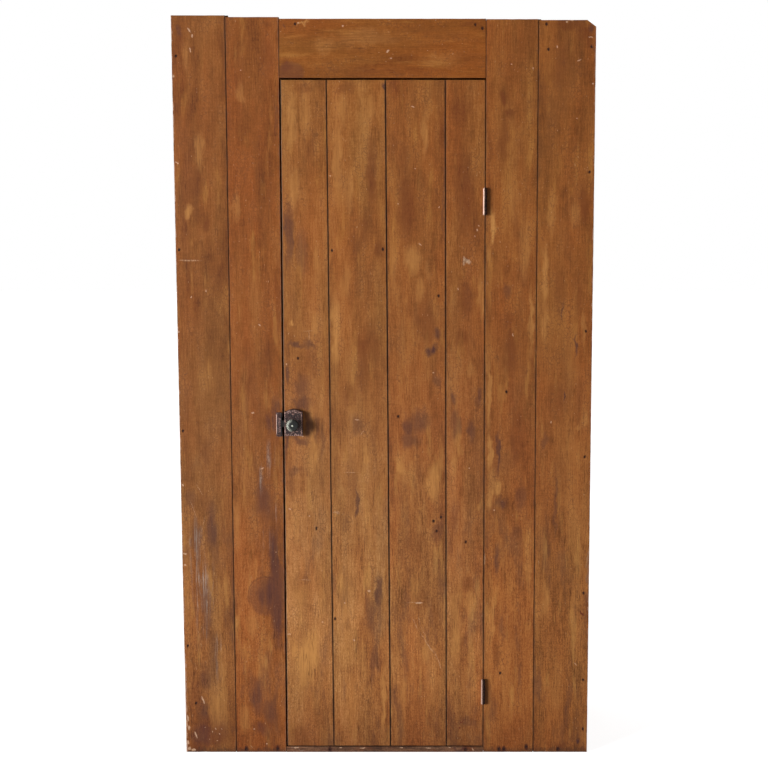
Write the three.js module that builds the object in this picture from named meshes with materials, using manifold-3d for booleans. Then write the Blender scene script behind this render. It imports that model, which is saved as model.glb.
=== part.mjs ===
// Jelly cupboard: a tall cupboard of pine boards with a ledged door on butt hinges and a cast rim latch.
// Millimetres. +Z is up, the door faces -Y, and the origin is on the floor in the middle of the footprint.
import * as THREE from 'three';
import { mergeVertices } from 'three/addons/utils/BufferGeometryUtils.js';
import Module from 'manifold-3d';

const wasm = await Module();
wasm.setup();

// Overall size, without the hardware that stands out of the front
const overallWidth = 1034;
const overallDepth = 406;
const sideHeight = 1828;

// Board thicknesses
const frontThickness = 22;
const sideThickness = 22;
const topThickness = 22;
const bottomThickness = 15;
const shelfThickness = 20;
const backThickness = 12;
const ledgeThickness = 22;

// Widths of the face boards at the floor: shares of the whole width, and for the door's boards shares
// of the doorway, of which the last board takes what is left
const stileShares = { leftOuter: 0.1255, leftInner: 0.126, rightInner: 0.1254, rightOuter: 0.1347 };
const doorBoardShares = [0.2403, 0.2887, 0.285];

// How far each hand-cut seam leans to the right between the floor and the top of the face
const leftStileLean = 1.9;
const latchSideLean = 3.3;
const firstDoorSeamLean = -5.4;
const secondDoorSeamLean = -7.1;
const thirdDoorSeamLean = -4.6;
const rightStileLean = -1.2;

// How far each face board stands above the top board, and the broken corner of the right outer one
const leftOuterRise = 12;
const leftInnerRise = 8;
const railRise = 4;
const rightInnerRise = 3;
const rightOuterRise = 1;
const railHeight = 142;
const cornerCutWidth = 15;
const cornerCutHeight = 22;

// Gaps between boards, and the clearances where pieces rest on, or turn in, each other
const seamGap = 1.2;
const latchSideGap = 3.8;
const hingeSideGap = 2.8;
const doorTopGap = 4.2;
const doorBottomGap = 2.3;
const seat = 0.3;
const fit = 0.3;
const overrun = 5;

// Tongue and groove joints, and the eased edges of the boards
const tongueLength = 6;
const tongueThickness = 6;
const backTongueLength = 5;
const backTongueThickness = 4;
const arris = 1;

// Shelves on cleats, and the back boards in their rabbets
const shelfCount = 4;
const firstShelfHeight = 415;
const cleatSize = 20;
const cleatFrontCut = 12;
const cleatSetback = 6;
const backBoardCount = 6;
const rabbetWidth = 11;

// Door ledges: each lies in a bay between two shelves, at a share of the bay's height
const ledgeHeight = 90;
const ledgeInset = 12;
const ledgeBevel = 6;
const lowerLedgeBay = 0;
const upperLedgeBay = 3;
const lowerLedgeShare = 0.8375;
const upperLedgeShare = 0.452;

// Butt hinges with three knuckles
const hingeHeight = 63.5;
const lowerHingeInset = 145.7;
const upperHingeInset = 295.1;
const knuckleRadius = 5;
const middleKnuckleHeight = 30.5;
const knuckleGap = 0.5;
const hingePinRadius = 2.2;
const pinHeadRadius = 3.4;
const pinHeadHeight = 2.2;
const barrelStandOff = 5.6;
const leafThickness = 2;
const leafReach = 24;
const leafSpread = 0.25;
const leafScrewInset = 11;
const leafScrewReach = 16;

// Countersunk wood screws
const screwRadius = 2;
const screwHeadRadius = 3.8;
const screwHeadDepth = 1.8;
const screwPointLength = 5;
const hingeScrewLength = 16;
const caseScrewLength = 29;
const keeperScrewLength = 17;

// Rim latch case
const latchHeight = 860;
const caseWidth = 45;
const caseHeight = 61;
const caseDepth = 15;
const caseArchRise = 6;
const caseShoulder = 4;
const caseBevel = 1.5;
const caseWall = 2.5;
const caseInset = 1.7;
const caseScrewInset = 6;
const collarRadius = 9;
const collarHeight = 2;
const ribThickness = 3;

// Knob, spindle and follower
const knobRadius = 16;
const knobReach = 45;
const knobBaseRadius = 8;
const knobBaseHeight = 1.5;
const knobFlareHeight = 2.5;
const knobNeckRadius = 5.5;
const knobBackDepth = 12;
const knobFaceDepth = 8;
const spindleSize = 5.5;
const spindleInKnob = 14;
const hubRadius = 6;
const journalRadius = 5.3;
const wingWidth = 5;
const wingReach = 12.6;

// Bolt and its yoke
const boltTravel = 8;
const boltHeight = 16;
const boltThickness = 7;
const boltBackGap = 3.5;
const noseFlat = 1.5;
const yokeThickness = 5;
const yokeRim = 3;
const yokeBar = 4;
const wingSlack = 0.9;
const hubSlack = 1;
const lugWidth = 3;

// Return spring
const springCoils = 9;
const springRadius = 2.4;
const springWireRadius = 0.45;

// Keeper
const keeperWidth = 15.3;
const keeperHeight = 60;
const keeperPlateThickness = 4;
const keeperEdgeBevel = 3;
const keeperBoxWidth = 9.2;
const keeperBoxHeight = 40;
const keeperBoxDepth = 13;
const keeperBoxBevel = 2;
const keeperWall = 2.2;
const keeperInset = 0.7;
const keeperDrop = 3;
const keeperClearance = 0.6;
const keeperScrewInset = 5.5;

// Facets
const smallFacets = 16;
const largeFacets = 32;
const springStepsPerCoil = 8;
const springWireFacets = 3;

// Places worked out from the sizes above
const frontY = -overallDepth / 2;
const faceBackY = frontY + frontThickness;
const carcassFrontY = faceBackY + seat;
const rearY = overallDepth / 2;
const shelfBackY = rearY - backThickness - seat;
const insideHalf = overallWidth / 2 - sideThickness;
const topSurface = sideHeight + seat + topThickness;
const faceTop = topSurface + railRise;
const railBottom = faceTop - railHeight;
const doorBottom = bottomThickness + doorBottomGap;
const doorTop = railBottom - doorTopGap;
const lowerHingeCentre = doorBottom + lowerHingeInset;
const upperHingeCentre = doorTop - upperHingeInset;
const shelfPitch = (sideHeight + seat - firstShelfHeight) / shelfCount;

// Materials
const faceWood = new THREE.MeshStandardMaterial({ color: 0x8c502d, roughness: 0.6, metalness: 0 });
const doorWood = new THREE.MeshStandardMaterial({ color: 0x9a6436, roughness: 0.58, metalness: 0 });
const insideWood = new THREE.MeshStandardMaterial({ color: 0xa8835a, roughness: 0.75, metalness: 0 });
const castIron = new THREE.MeshStandardMaterial({ color: 0x4a3833, roughness: 0.55, metalness: 0.6 });
const wornIron = new THREE.MeshStandardMaterial({ color: 0x7d6257, roughness: 0.45, metalness: 0.7 });
const knobBlack = new THREE.MeshStandardMaterial({ color: 0x1d211e, roughness: 0.2, metalness: 0.1 });

// Turning three.js geometry into solids, and solids into named meshes

function signedVolume(points, triangles) {
  const corners = [new THREE.Vector3(), new THREE.Vector3(), new THREE.Vector3()];
  let sum = 0;
  for (let t = 0; t < triangles.length; t += 3) {
    corners.forEach((corner, i) => corner.fromArray(points, 3 * triangles[t + i]));
    sum += corners[0].dot(corners[1].cross(corners[2]));
  }
  return sum;
}

function solid(geometry) {
  const bare = geometry.clone();
  bare.deleteAttribute('normal');
  bare.deleteAttribute('uv');
  const merged = mergeVertices(bare);
  const points = new Float32Array(merged.attributes.position.array);
  const index = merged.index.array;
  const triangles = [];
  for (let t = 0; t < index.length; t += 3) {
    const [a, b, c] = index.slice(t, t + 3);
    if (a !== b && b !== c && c !== a) triangles.push(a, b, c);
  }
  if (signedVolume(points, triangles) < 0) triangles.reverse();
  const triVerts = new Uint32Array(triangles);
  return new wasm.Manifold(new wasm.Mesh({ numProp: 3, vertProperties: points, triVerts }));
}

function piece(name, shape, material) {
  const result = shape.getMesh();
  const indexed = new THREE.BufferGeometry();
  indexed.setAttribute('position', new THREE.BufferAttribute(new Float32Array(result.vertProperties), 3));
  indexed.setIndex(new THREE.BufferAttribute(new Uint32Array(result.triVerts), 1));
  const geometry = indexed.toNonIndexed();
  geometry.computeVertexNormals();
  const mesh = new THREE.Mesh(geometry, material);
  mesh.name = name;
  return mesh;
}

function outlined(points) {
  return new THREE.Shape(points.map(([x, y]) => new THREE.Vector2(x, y)));
}

function box(low, high) {
  const size = high.map((value, axis) => value - low[axis]);
  const centre = high.map((value, axis) => (value + low[axis]) / 2);
  return solid(new THREE.BoxGeometry(...size).translate(...centre));
}

// Runs an outline a distance along the third of the axes given, and sets it down at a start on that axis
function extruded(shape, axes, from, to) {
  const geometry = new THREE.ExtrudeGeometry(shape, { depth: to - from, bevelEnabled: false });
  return geometry.translate(0, 0, from).applyMatrix4(new THREE.Matrix4().makeBasis(...axes));
}

const xAxis = new THREE.Vector3(1, 0, 0);
const yAxis = new THREE.Vector3(0, 1, 0);
const zAxis = new THREE.Vector3(0, 0, 1);

// An outline in X and Y, raised along Z
function raised(shape, from, to) {
  return extruded(shape, [xAxis, yAxis, zAxis], from, to);
}

// An outline in X and Z, run along Y
function runAlongY(points, from, to) {
  return solid(extruded(outlined(points), [xAxis, zAxis, yAxis], from, to));
}

// An outline in Y and Z, run along X
function runAlongX(points, from, to) {
  return solid(extruded(outlined(points), [yAxis, zAxis, xAxis], from, to));
}

// A profile of radius and height, turned about the Z axis
function turned(profile, facets) {
  const points = profile.map(([radius, height]) => new THREE.Vector2(radius, height));
  return solid(new THREE.LatheGeometry(points, facets).rotateX(Math.PI / 2));
}

function cylinder(radius, from, to, facets) {
  return turned([[0, from], [radius, from], [radius, to], [0, to]], facets);
}

// Seams of the face: where each one is at the floor, how far it leans, and the gap that it leaves

const faceLeft = { at: -overallWidth / 2, lean: 0, gap: 0 };
const faceRight = { at: overallWidth / 2, lean: 0, gap: 0 };
const leftStileSeam = stileSeam(faceLeft, stileShares.leftOuter, leftStileLean, seamGap);
const latchSeam = stileSeam(leftStileSeam, stileShares.leftInner, latchSideLean, latchSideGap);
const rightStileSeam = stileSeam(faceRight, -stileShares.rightOuter, rightStileLean, seamGap);
const hingeSeam = stileSeam(rightStileSeam, -stileShares.rightInner, 0, hingeSideGap);
const doorwayLeft = latchSeam.at - latchSideGap / 2;
const doorwayRight = hingeSeam.at + hingeSideGap / 2;
const railLeftSeam = { ...latchSeam, at: doorwayLeft + seamGap / 2, gap: seamGap };
const railRightSeam = { ...hingeSeam, at: doorwayRight - seamGap / 2, gap: seamGap };

// The seam at the other side of a stile board, which lies to the right of the first for a share above 0
function stileSeam(from, share, lean, gap) {
  return { at: from.at + share * overallWidth, lean, gap };
}

function doorSeams() {
  const seams = [latchSeam];
  const leans = [firstDoorSeamLean, secondDoorSeamLean, thirdDoorSeamLean];
  doorBoardShares.forEach((share, i) => {
    const width = share * (hingeSeam.at - latchSeam.at);
    seams.push({ at: seams[i].at + width, lean: leans[i], gap: seamGap });
  });
  return [...seams, hingeSeam];
}

function seamAt(seam, height) {
  return seam.at + seam.lean * height / faceTop;
}

// Boards

// A board's section at the floor, with an optional tongue on its right edge and groove in its left one
function boardSection(left, right, back, joint) {
  const front = back - joint.thickness;
  const middle = (front + back) / 2;
  const tongueHalf = joint.tongueThickness / 2;
  const grooveHalf = tongueHalf + fit;
  const section = [[left + arris, front], [right - arris, front], [right, front + arris]];
  if (joint.tongue) {
    const tip = right + seamGap + joint.tongueLength;
    section.push([right, middle - tongueHalf], [tip, middle - tongueHalf]);
    section.push([tip, middle + tongueHalf], [right, middle + tongueHalf]);
  }
  section.push([right, back], [left, back]);
  if (joint.groove) {
    const floor = left + joint.tongueLength + fit;
    section.push([left, middle + grooveHalf], [floor, middle + grooveHalf]);
    section.push([floor, middle - grooveHalf], [left, middle - grooveHalf]);
  }
  section.push([left, front + arris]);
  return outlined(section);
}

// Moves every point sideways with the seam on its side of the board
function leaned(geometry, leftSeam, rightSeam) {
  const position = geometry.attributes.position;
  const middle = (leftSeam.at + rightSeam.at) / 2;
  for (let i = 0; i < position.count; i += 1) {
    const seam = position.getX(i) < middle ? leftSeam : rightSeam;
    position.setX(i, position.getX(i) + seamAt(seam, position.getZ(i)) - seam.at);
  }
  return geometry;
}

function faceBoard(leftSeam, rightSeam, bottom, top, edges) {
  const left = leftSeam.at + leftSeam.gap / 2;
  const right = rightSeam.at - rightSeam.gap / 2;
  const joint = { ...edges, thickness: frontThickness, tongueLength, tongueThickness };
  const section = boardSection(left, right, faceBackY, joint);
  return solid(leaned(raised(section, bottom, top), leftSeam, rightSeam));
}

// Fasteners

// A countersunk screw about the Z axis, with its head flush at height 0 and its point below
function screwProfile(length, clearance) {
  const shank = screwRadius + clearance;
  const tip = -length - clearance;
  return [
    [screwHeadRadius + clearance, 0],
    [shank, -screwHeadDepth - clearance],
    [shank, tip + screwPointLength],
    [0, tip],
  ];
}

function screw(length) {
  return turned([[0, 0], ...screwProfile(length, 0)], smallFacets);
}

// The hole that a screw fills, kept open above the head
function screwHole(length) {
  const mouth = screwHeadRadius + fit;
  return turned([[0, overrun], [mouth, overrun], ...screwProfile(length, fit)], smallFacets);
}

// Hinges, each in its own frame: the pin is on the Z axis and the leaves run back along +Y.
// Side 1 is the frame leaf, on +X, and side -1 the door leaf.

const hingeX = hingeSeam.at;
const hingeY = frontY - barrelStandOff;
const leafScrewRise = hingeHeight / 2 - leafScrewInset;
const leafScrewHeights = { lower: -leafScrewRise, upper: leafScrewRise };

function sideBox(side, near, far, lowY, highY, lowZ, highZ) {
  const [low, high] = [side * near, side * far].sort((a, b) => a - b);
  return box([low, lowY, lowZ], [high, highY, highZ]);
}

function knuckle(from, to) {
  const bore = hingePinRadius + fit;
  const ring = [[bore, from], [knuckleRadius, from], [knuckleRadius, to], [bore, to], [bore, from]];
  return turned(ring, smallFacets);
}

// Lays a screw in a leaf, with its head in the leaf's inner face and its point in the wood
function inLeaf(shape, side, height) {
  return shape.rotate([0, -side * 90, 0]).translate([side * leafSpread, leafScrewReach, height]);
}

function hingeLeaf(side) {
  const half = hingeHeight / 2;
  const middle = middleKnuckleHeight / 2;
  const inBarrel = (knuckleRadius + hingePinRadius + fit) / 2;
  const clear = knuckleRadius + knuckleGap;
  const outer = leafSpread + leafThickness;
  const ends = [[-half, -middle - knuckleGap], [middle + knuckleGap, half]];
  const knuckles = side > 0 ? ends : [[-middle, middle]];
  let leaf = sideBox(side, leafSpread, outer, clear, leafReach, -half, half);
  for (const [from, to] of knuckles) {
    leaf = leaf.add(sideBox(side, leafSpread, outer, inBarrel, leafReach, from, to)).add(knuckle(from, to));
  }
  for (const height of Object.values(leafScrewHeights)) {
    leaf = leaf.subtract(inLeaf(screwHole(hingeScrewLength), side, height));
  }
  return leaf;
}

// What a leaf and its screws take out of the edge of a board
function leafRecess(side, centre) {
  const half = hingeHeight / 2 + fit;
  const depth = leafSpread + leafThickness + fit;
  let recess = sideBox(side, 0, depth, 0, leafReach + fit, -half, half);
  for (const height of Object.values(leafScrewHeights)) {
    recess = recess.add(inLeaf(screwHole(hingeScrewLength), side, height));
  }
  return recess.translate([hingeX, hingeY, centre]);
}

function hingePin() {
  const half = hingeHeight / 2 + fit;
  const tip = half + pinHeadHeight;
  const edge = half + pinHeadHeight / 2;
  return turned([
    [0, -tip],
    [pinHeadRadius / 2, -tip],
    [pinHeadRadius, -edge],
    [pinHeadRadius, -half],
    [hingePinRadius, -half],
    [hingePinRadius, half],
    [pinHeadRadius, half],
    [pinHeadRadius, edge],
    [pinHeadRadius / 2, tip],
    [0, tip],
  ], smallFacets);
}

function addHinge(cupboard, name, centre) {
  const hinge = new THREE.Group();
  hinge.position.set(hingeX, hingeY, centre);
  hinge.add(piece(`${name}_hinge_frame_leaf`, hingeLeaf(1), wornIron));
  hinge.add(piece(`${name}_hinge_door_leaf`, hingeLeaf(-1), wornIron));
  hinge.add(piece(`${name}_hinge_pin`, hingePin(), wornIron));
  for (const [place, height] of Object.entries(leafScrewHeights)) {
    const frameScrew = inLeaf(screw(hingeScrewLength), 1, height);
    const doorScrew = inLeaf(screw(hingeScrewLength), -1, height);
    hinge.add(piece(`${name}_hinge_frame_screw_${place}`, frameScrew, castIron));
    hinge.add(piece(`${name}_hinge_door_screw_${place}`, doorScrew, castIron));
  }
  cupboard.add(hinge);
}

// Rim latch, in its own frame: X to the right, Y up, and Z out of the door along the spindle.
// Turning the knob clockwise swings the follower's wing against the yoke and draws the bolt to the right.

const latchEdge = seamAt(latchSeam, latchHeight);
const latchX = latchEdge + latchSideGap / 2 + caseInset + caseWidth / 2;
const latchY = frontY - seat;
const caseHalf = caseWidth / 2;
const cavityHalf = caseHalf - caseWall;
const cavityDepth = caseDepth - caseWall;
const collarTop = caseDepth + collarHeight;
const boltFront = boltBackGap + boltThickness;
const boltMiddle = boltBackGap + boltThickness / 2;
const yokeBack = boltMiddle - yokeThickness / 2;
const yokeFront = boltMiddle + yokeThickness / 2;
const windowLeft = -hubRadius - boltTravel - hubSlack;
const windowRight = hubRadius + hubSlack;
const windowTop = Math.hypot(wingReach, wingWidth / 2) + hubSlack / 2;
const yokeLeft = windowLeft - yokeBar;
const yokeRight = windowRight + yokeBar;
const yokeTop = windowTop + yokeRim;
const yokeBottom = -windowRight - yokeRim;
const springHeight = yokeTop + springRadius + springWireRadius + fit;
const caseScrewHeights = {
  upper: caseHeight / 2 + caseArchRise - caseScrewInset - caseWall,
  lower: caseScrewInset - caseHeight / 2,
};

// Straight sides, and an arched top between two shoulders
function caseOutline(inset) {
  const half = caseHalf - inset;
  const top = caseHeight / 2 - inset;
  const chord = half - caseShoulder;
  const radius = (chord * chord + caseArchRise * caseArchRise) / (2 * caseArchRise);
  const centre = top + caseArchRise - radius;
  const angle = Math.atan2(top - centre, chord);
  const shape = new THREE.Shape();
  shape.moveTo(-half, -top);
  shape.lineTo(half, -top);
  shape.lineTo(half, top);
  shape.absarc(0, centre, radius, angle, Math.PI - angle, false);
  shape.lineTo(-half, top);
  return shape;
}

function inCase(shape, height) {
  return shape.translate([0, height, caseDepth]);
}

// A casting open at the back, with a collar for the follower's journal, a slot for the bolt
// in its left wall, and a rib inside that carries the yoke
function latchCase() {
  const casting = new THREE.ExtrudeGeometry(caseOutline(0), {
    depth: caseDepth - caseBevel,
    bevelThickness: caseBevel,
    bevelSize: caseBevel,
    bevelOffset: -caseBevel,
    bevelSegments: 2,
    curveSegments: smallFacets / 2,
  });
  const reach = caseWidth + caseHeight;
  const ribTop = yokeBottom - fit;
  const ribEnd = cavityHalf + caseWall / 2;
  const slotHalf = boltHeight / 2 + fit;
  let shell = solid(casting).subtract(box([-reach, -reach, -reach], [reach, reach, 0]));
  shell = shell.subtract(solid(raised(caseOutline(caseWall), -overrun, cavityDepth)));
  const ribFront = caseDepth - caseWall / 2;
  shell = shell.add(box([-ribEnd, ribTop - ribThickness, yokeBack], [ribEnd, ribTop, ribFront]));
  shell = shell.add(cylinder(collarRadius, cavityDepth, collarTop, largeFacets));
  shell = shell.subtract(cylinder(journalRadius + fit, -overrun, collarTop + overrun, smallFacets));
  const slotLow = [-caseHalf - overrun, -slotHalf, boltBackGap - fit];
  shell = shell.subtract(box(slotLow, [-cavityHalf + fit, slotHalf, boltFront + fit]));
  for (const height of Object.values(caseScrewHeights)) {
    shell = shell.subtract(inCase(screwHole(caseScrewLength), height));
  }
  return shell;
}

// The keeper's right side, and the tip of the bolt inside the keeper's box
const keeperRight = latchEdge - latchSideGap / 2 - keeperInset - latchX;
const boltTip = keeperRight - keeperBoxWidth + keeperWall + keeperClearance;

// A bar whose nose is bevelled where it rides over the keeper as the door shuts, and behind it
// the yoke: a plate with a window round the hub and a tab that the wing pushes
function latchBolt() {
  const nose = [
    [boltTip, boltFront],
    [boltTip, boltFront - noseFlat],
    [boltTip + boltThickness - noseFlat, boltBackGap],
    [windowLeft, boltBackGap],
    [windowLeft, boltFront],
  ];
  const tab = wingWidth / 2 + wingSlack;
  const lug = yokeLeft + lugWidth;
  const lugTop = springHeight + springRadius;
  const plate = outlined([
    [yokeLeft, yokeBottom],
    [yokeRight, yokeBottom],
    [yokeRight, yokeTop],
    [lug, yokeTop],
    [lug, lugTop],
    [yokeLeft, lugTop],
  ]);
  plate.holes.push(outlined([
    [windowLeft, -windowRight],
    [windowRight, -windowRight],
    [windowRight, windowRight],
    [tab, windowRight],
    [tab, windowTop],
    [windowLeft, windowTop],
  ]));
  const bar = runAlongY(nose, -boltHeight / 2, boltHeight / 2);
  return bar.add(solid(raised(plate, yokeBack, yokeFront)));
}

// A hub with one wing, turning by its journal in the case's collar
function latchFollower() {
  const wing = box([-wingWidth / 2, 0, yokeBack], [wingWidth / 2, wingReach, yokeFront]);
  const hub = cylinder(hubRadius, fit, cavityDepth - fit, largeFacets);
  const journal = cylinder(journalRadius, yokeFront, collarTop, smallFacets);
  const half = spindleSize / 2 + fit;
  const bore = box([-half, -half, -overrun], [half, half, collarTop + overrun]);
  return hub.add(wing).add(journal).subtract(bore);
}

const knobBase = collarTop + fit;
const spindleTip = knobBase + spindleInKnob;

function spindle() {
  const half = spindleSize / 2;
  return box([-half, -half, fit], [half, half, spindleTip]);
}

// A flared foot, a waist, and a ball that is flatter in front than behind
function knob() {
  const widest = knobReach - knobFaceDepth;
  const flareTop = knobBase + knobBaseHeight + knobFlareHeight;
  const profile = [
    [0, knobBase],
    [knobBaseRadius, knobBase],
    [knobBaseRadius, knobBase + knobBaseHeight],
    [knobNeckRadius, flareTop],
  ];
  const start = Math.asin(knobNeckRadius / knobRadius);
  for (let i = 0; i < smallFacets; i += 1) {
    const angle = start + (Math.PI - start) * i / smallFacets;
    const depth = angle < Math.PI / 2 ? knobBackDepth : knobFaceDepth;
    profile.push([knobRadius * Math.sin(angle), widest - depth * Math.cos(angle)]);
  }
  profile.push([0, knobReach]);
  const half = spindleSize / 2 + fit;
  return turned(profile, largeFacets).subtract(box([-half, -half, 0], [half, half, spindleTip + fit]));
}

// The return spring's centre line, from the yoke's lug to the case's right wall
class SpringLine extends THREE.Curve {
  getPoint(share) {
    const angle = share * springCoils * 2 * Math.PI;
    const start = yokeLeft + lugWidth + springWireRadius + fit;
    const end = cavityHalf - springWireRadius - fit;
    const height = springHeight + springRadius * Math.cos(angle);
    const depth = boltMiddle + springRadius * Math.sin(angle);
    return new THREE.Vector3(start + (end - start) * share, height, depth);
  }
}

function latchSpring() {
  const wire = new THREE.Shape().absarc(0, 0, springWireRadius, 0, 2 * Math.PI, false);
  const steps = springCoils * springStepsPerCoil;
  const shaped = { steps, extrudePath: new SpringLine(), curveSegments: springWireFacets };
  return solid(new THREE.ExtrudeGeometry(wire, shaped));
}

const keeperMiddle = -keeperDrop;
const keeperScrewRise = keeperHeight / 2 - keeperScrewInset;
const keeperScrewHeights = { lower: keeperMiddle - keeperScrewRise, upper: keeperMiddle + keeperScrewRise };

function inKeeper(shape, height) {
  return shape.translate([keeperRight - keeperWidth / 2, height, keeperPlateThickness]);
}

// A plate with a bevelled outer edge, and on it a box that the bolt's nose enters from the right
function latchKeeper() {
  const left = keeperRight - keeperWidth;
  const boxLeft = keeperRight - keeperBoxWidth;
  const plateHalf = keeperHeight / 2;
  const boxHalf = keeperBoxHeight / 2;
  const mouthHalf = boltHeight / 2 + keeperClearance;
  const plate = runAlongY([
    [left, 0],
    [keeperRight, 0],
    [keeperRight, keeperPlateThickness],
    [left + keeperEdgeBevel, keeperPlateThickness],
    [left, keeperPlateThickness - keeperEdgeBevel],
  ], keeperMiddle - plateHalf, keeperMiddle + plateHalf);
  const socket = runAlongY([
    [boxLeft, 0],
    [keeperRight, 0],
    [keeperRight, keeperBoxDepth],
    [boxLeft + keeperBoxBevel, keeperBoxDepth],
    [boxLeft, keeperBoxDepth - keeperBoxBevel],
  ], keeperMiddle - boxHalf, keeperMiddle + boxHalf);
  const mouthLow = [boxLeft + keeperWall, -mouthHalf, boltBackGap - keeperClearance];
  const mouthHigh = [keeperRight + overrun, mouthHalf, boltFront + fit];
  let keeper = plate.add(socket).subtract(box(mouthLow, mouthHigh));
  for (const height of Object.values(keeperScrewHeights)) {
    keeper = keeper.subtract(inKeeper(screwHole(keeperScrewLength), height));
  }
  return keeper;
}

// From the latch's frame to the cupboard's
function onFace(shape) {
  return shape.rotate([90, 0, 0]).translate([latchX, latchY, latchHeight]);
}

function addLatch(cupboard) {
  const latch = new THREE.Group();
  latch.position.set(latchX, latchY, latchHeight);
  latch.rotation.x = Math.PI / 2;
  latch.add(piece('latch_case', latchCase(), castIron));
  latch.add(piece('latch_bolt', latchBolt(), wornIron));
  latch.add(piece('latch_follower', latchFollower(), wornIron));
  latch.add(piece('latch_spring', latchSpring(), wornIron));
  latch.add(piece('latch_spindle', spindle(), wornIron));
  latch.add(piece('knob', knob(), knobBlack));
  latch.add(piece('latch_keeper', latchKeeper(), castIron));
  for (const [place, height] of Object.entries(caseScrewHeights)) {
    latch.add(piece(`case_screw_${place}`, inCase(screw(caseScrewLength), height), castIron));
  }
  for (const [place, height] of Object.entries(keeperScrewHeights)) {
    latch.add(piece(`keeper_screw_${place}`, inKeeper(screw(keeperScrewLength), height), castIron));
  }
  cupboard.add(latch);
}

// Face of the cupboard

function addStiles(cupboard) {
  const tongue = { tongue: true };
  const groove = { groove: true };
  const leftOuter = faceBoard(faceLeft, leftStileSeam, 0, topSurface + leftOuterRise, tongue);
  let leftInner = faceBoard(leftStileSeam, latchSeam, 0, topSurface + leftInnerRise, groove);
  for (const height of Object.values(keeperScrewHeights)) {
    leftInner = leftInner.subtract(onFace(inKeeper(screwHole(keeperScrewLength), height)));
  }
  let rightInner = faceBoard(hingeSeam, rightStileSeam, 0, topSurface + rightInnerRise, tongue);
  for (const centre of [lowerHingeCentre, upperHingeCentre]) {
    rightInner = rightInner.subtract(leafRecess(1, centre));
  }
  const outerTop = topSurface + rightOuterRise;
  const cornerCut = runAlongY([
    [faceRight.at - cornerCutWidth, outerTop],
    [faceRight.at, outerTop - cornerCutHeight],
    [faceRight.at + cornerCutWidth, outerTop - cornerCutHeight],
    [faceRight.at + cornerCutWidth, outerTop + cornerCutHeight],
    [faceRight.at - cornerCutWidth, outerTop + cornerCutHeight],
  ], frontY - overrun, faceBackY + overrun);
  const rightOuter = faceBoard(rightStileSeam, faceRight, 0, outerTop, groove).subtract(cornerCut);
  cupboard.add(piece('left_outer_board', leftOuter, faceWood));
  cupboard.add(piece('left_inner_board', leftInner, faceWood));
  cupboard.add(piece('right_inner_board', rightInner, faceWood));
  cupboard.add(piece('right_outer_board', rightOuter, faceWood));
  const rail = faceBoard(railLeftSeam, railRightSeam, railBottom, faceTop, {});
  cupboard.add(piece('top_rail', rail, faceWood));
}

function addDoorBoards(cupboard) {
  const seams = doorSeams();
  const last = seams.length - 2;
  for (let i = 0; i <= last; i += 1) {
    const edges = { tongue: i < last, groove: i > 0 };
    let board = faceBoard(seams[i], seams[i + 1], doorBottom, doorTop, edges);
    if (i === 0) {
      for (const height of Object.values(caseScrewHeights)) {
        board = board.subtract(onFace(inCase(screwHole(caseScrewLength), height)));
      }
    }
    if (i === last) {
      for (const centre of [lowerHingeCentre, upperHingeCentre]) {
        board = board.subtract(leafRecess(-1, centre));
      }
    }
    cupboard.add(piece(`door_board_${i + 1}`, board, doorWood));
  }
}

// The space between two shelves, or between a shelf and the bottom or top board. The bays above
// the first shelf are all as high.
function bay(index) {
  const low = index === 0 ? bottomThickness : shelfUnderside(index - 1) + shelfThickness;
  const high = index === shelfCount ? sideHeight + seat : shelfUnderside(index);
  return { low, high };
}

function shelfUnderside(index) {
  return firstShelfHeight + index * shelfPitch;
}

function addLedge(cupboard, name, index, share) {
  const { low, high } = bay(index);
  const centre = low + (high - low) * share;
  const bottom = centre - ledgeHeight / 2;
  const top = centre + ledgeHeight / 2;
  const back = carcassFrontY + ledgeThickness;
  const section = [
    [carcassFrontY, bottom],
    [back - ledgeBevel, bottom],
    [back, bottom + ledgeBevel],
    [back, top - ledgeBevel],
    [back - ledgeBevel, top],
    [carcassFrontY, top],
  ];
  const left = seamAt(latchSeam, centre) + latchSideGap / 2 + ledgeInset;
  const right = hingeSeam.at - hingeSideGap / 2 - ledgeInset;
  cupboard.add(piece(name, runAlongX(section, left, right), insideWood));
}

// Carcass

// A side panel's plan, with the rabbet for the back boards at its rear inner corner
function addSidePanel(cupboard, name, side) {
  const outer = side * overallWidth / 2;
  const inner = side * insideHalf;
  const rabbet = side * (insideHalf + rabbetWidth);
  const plan = outlined([
    [outer, carcassFrontY],
    [inner, carcassFrontY],
    [inner, shelfBackY],
    [rabbet, shelfBackY],
    [rabbet, rearY],
    [outer, rearY],
  ]);
  cupboard.add(piece(name, solid(raised(plan, 0, sideHeight)), faceWood));
}

// The bottom board's front edge comes forward between the stiles as the sill under the door
function addBottomBoard(cupboard) {
  const half = insideHalf - seat;
  const plan = outlined([
    [-half, carcassFrontY],
    [doorwayLeft + seamGap, carcassFrontY],
    [doorwayLeft + seamGap, frontY],
    [doorwayRight - seamGap, frontY],
    [doorwayRight - seamGap, carcassFrontY],
    [half, carcassFrontY],
    [half, shelfBackY],
    [-half, shelfBackY],
  ]);
  cupboard.add(piece('bottom_board', solid(raised(plan, 0, bottomThickness)), insideWood));
}

function addTopBoard(cupboard) {
  const half = overallWidth / 2;
  const board = box([-half, carcassFrontY, sideHeight + seat], [half, rearY, topSurface]);
  cupboard.add(piece('top_board', board, insideWood));
}

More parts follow.
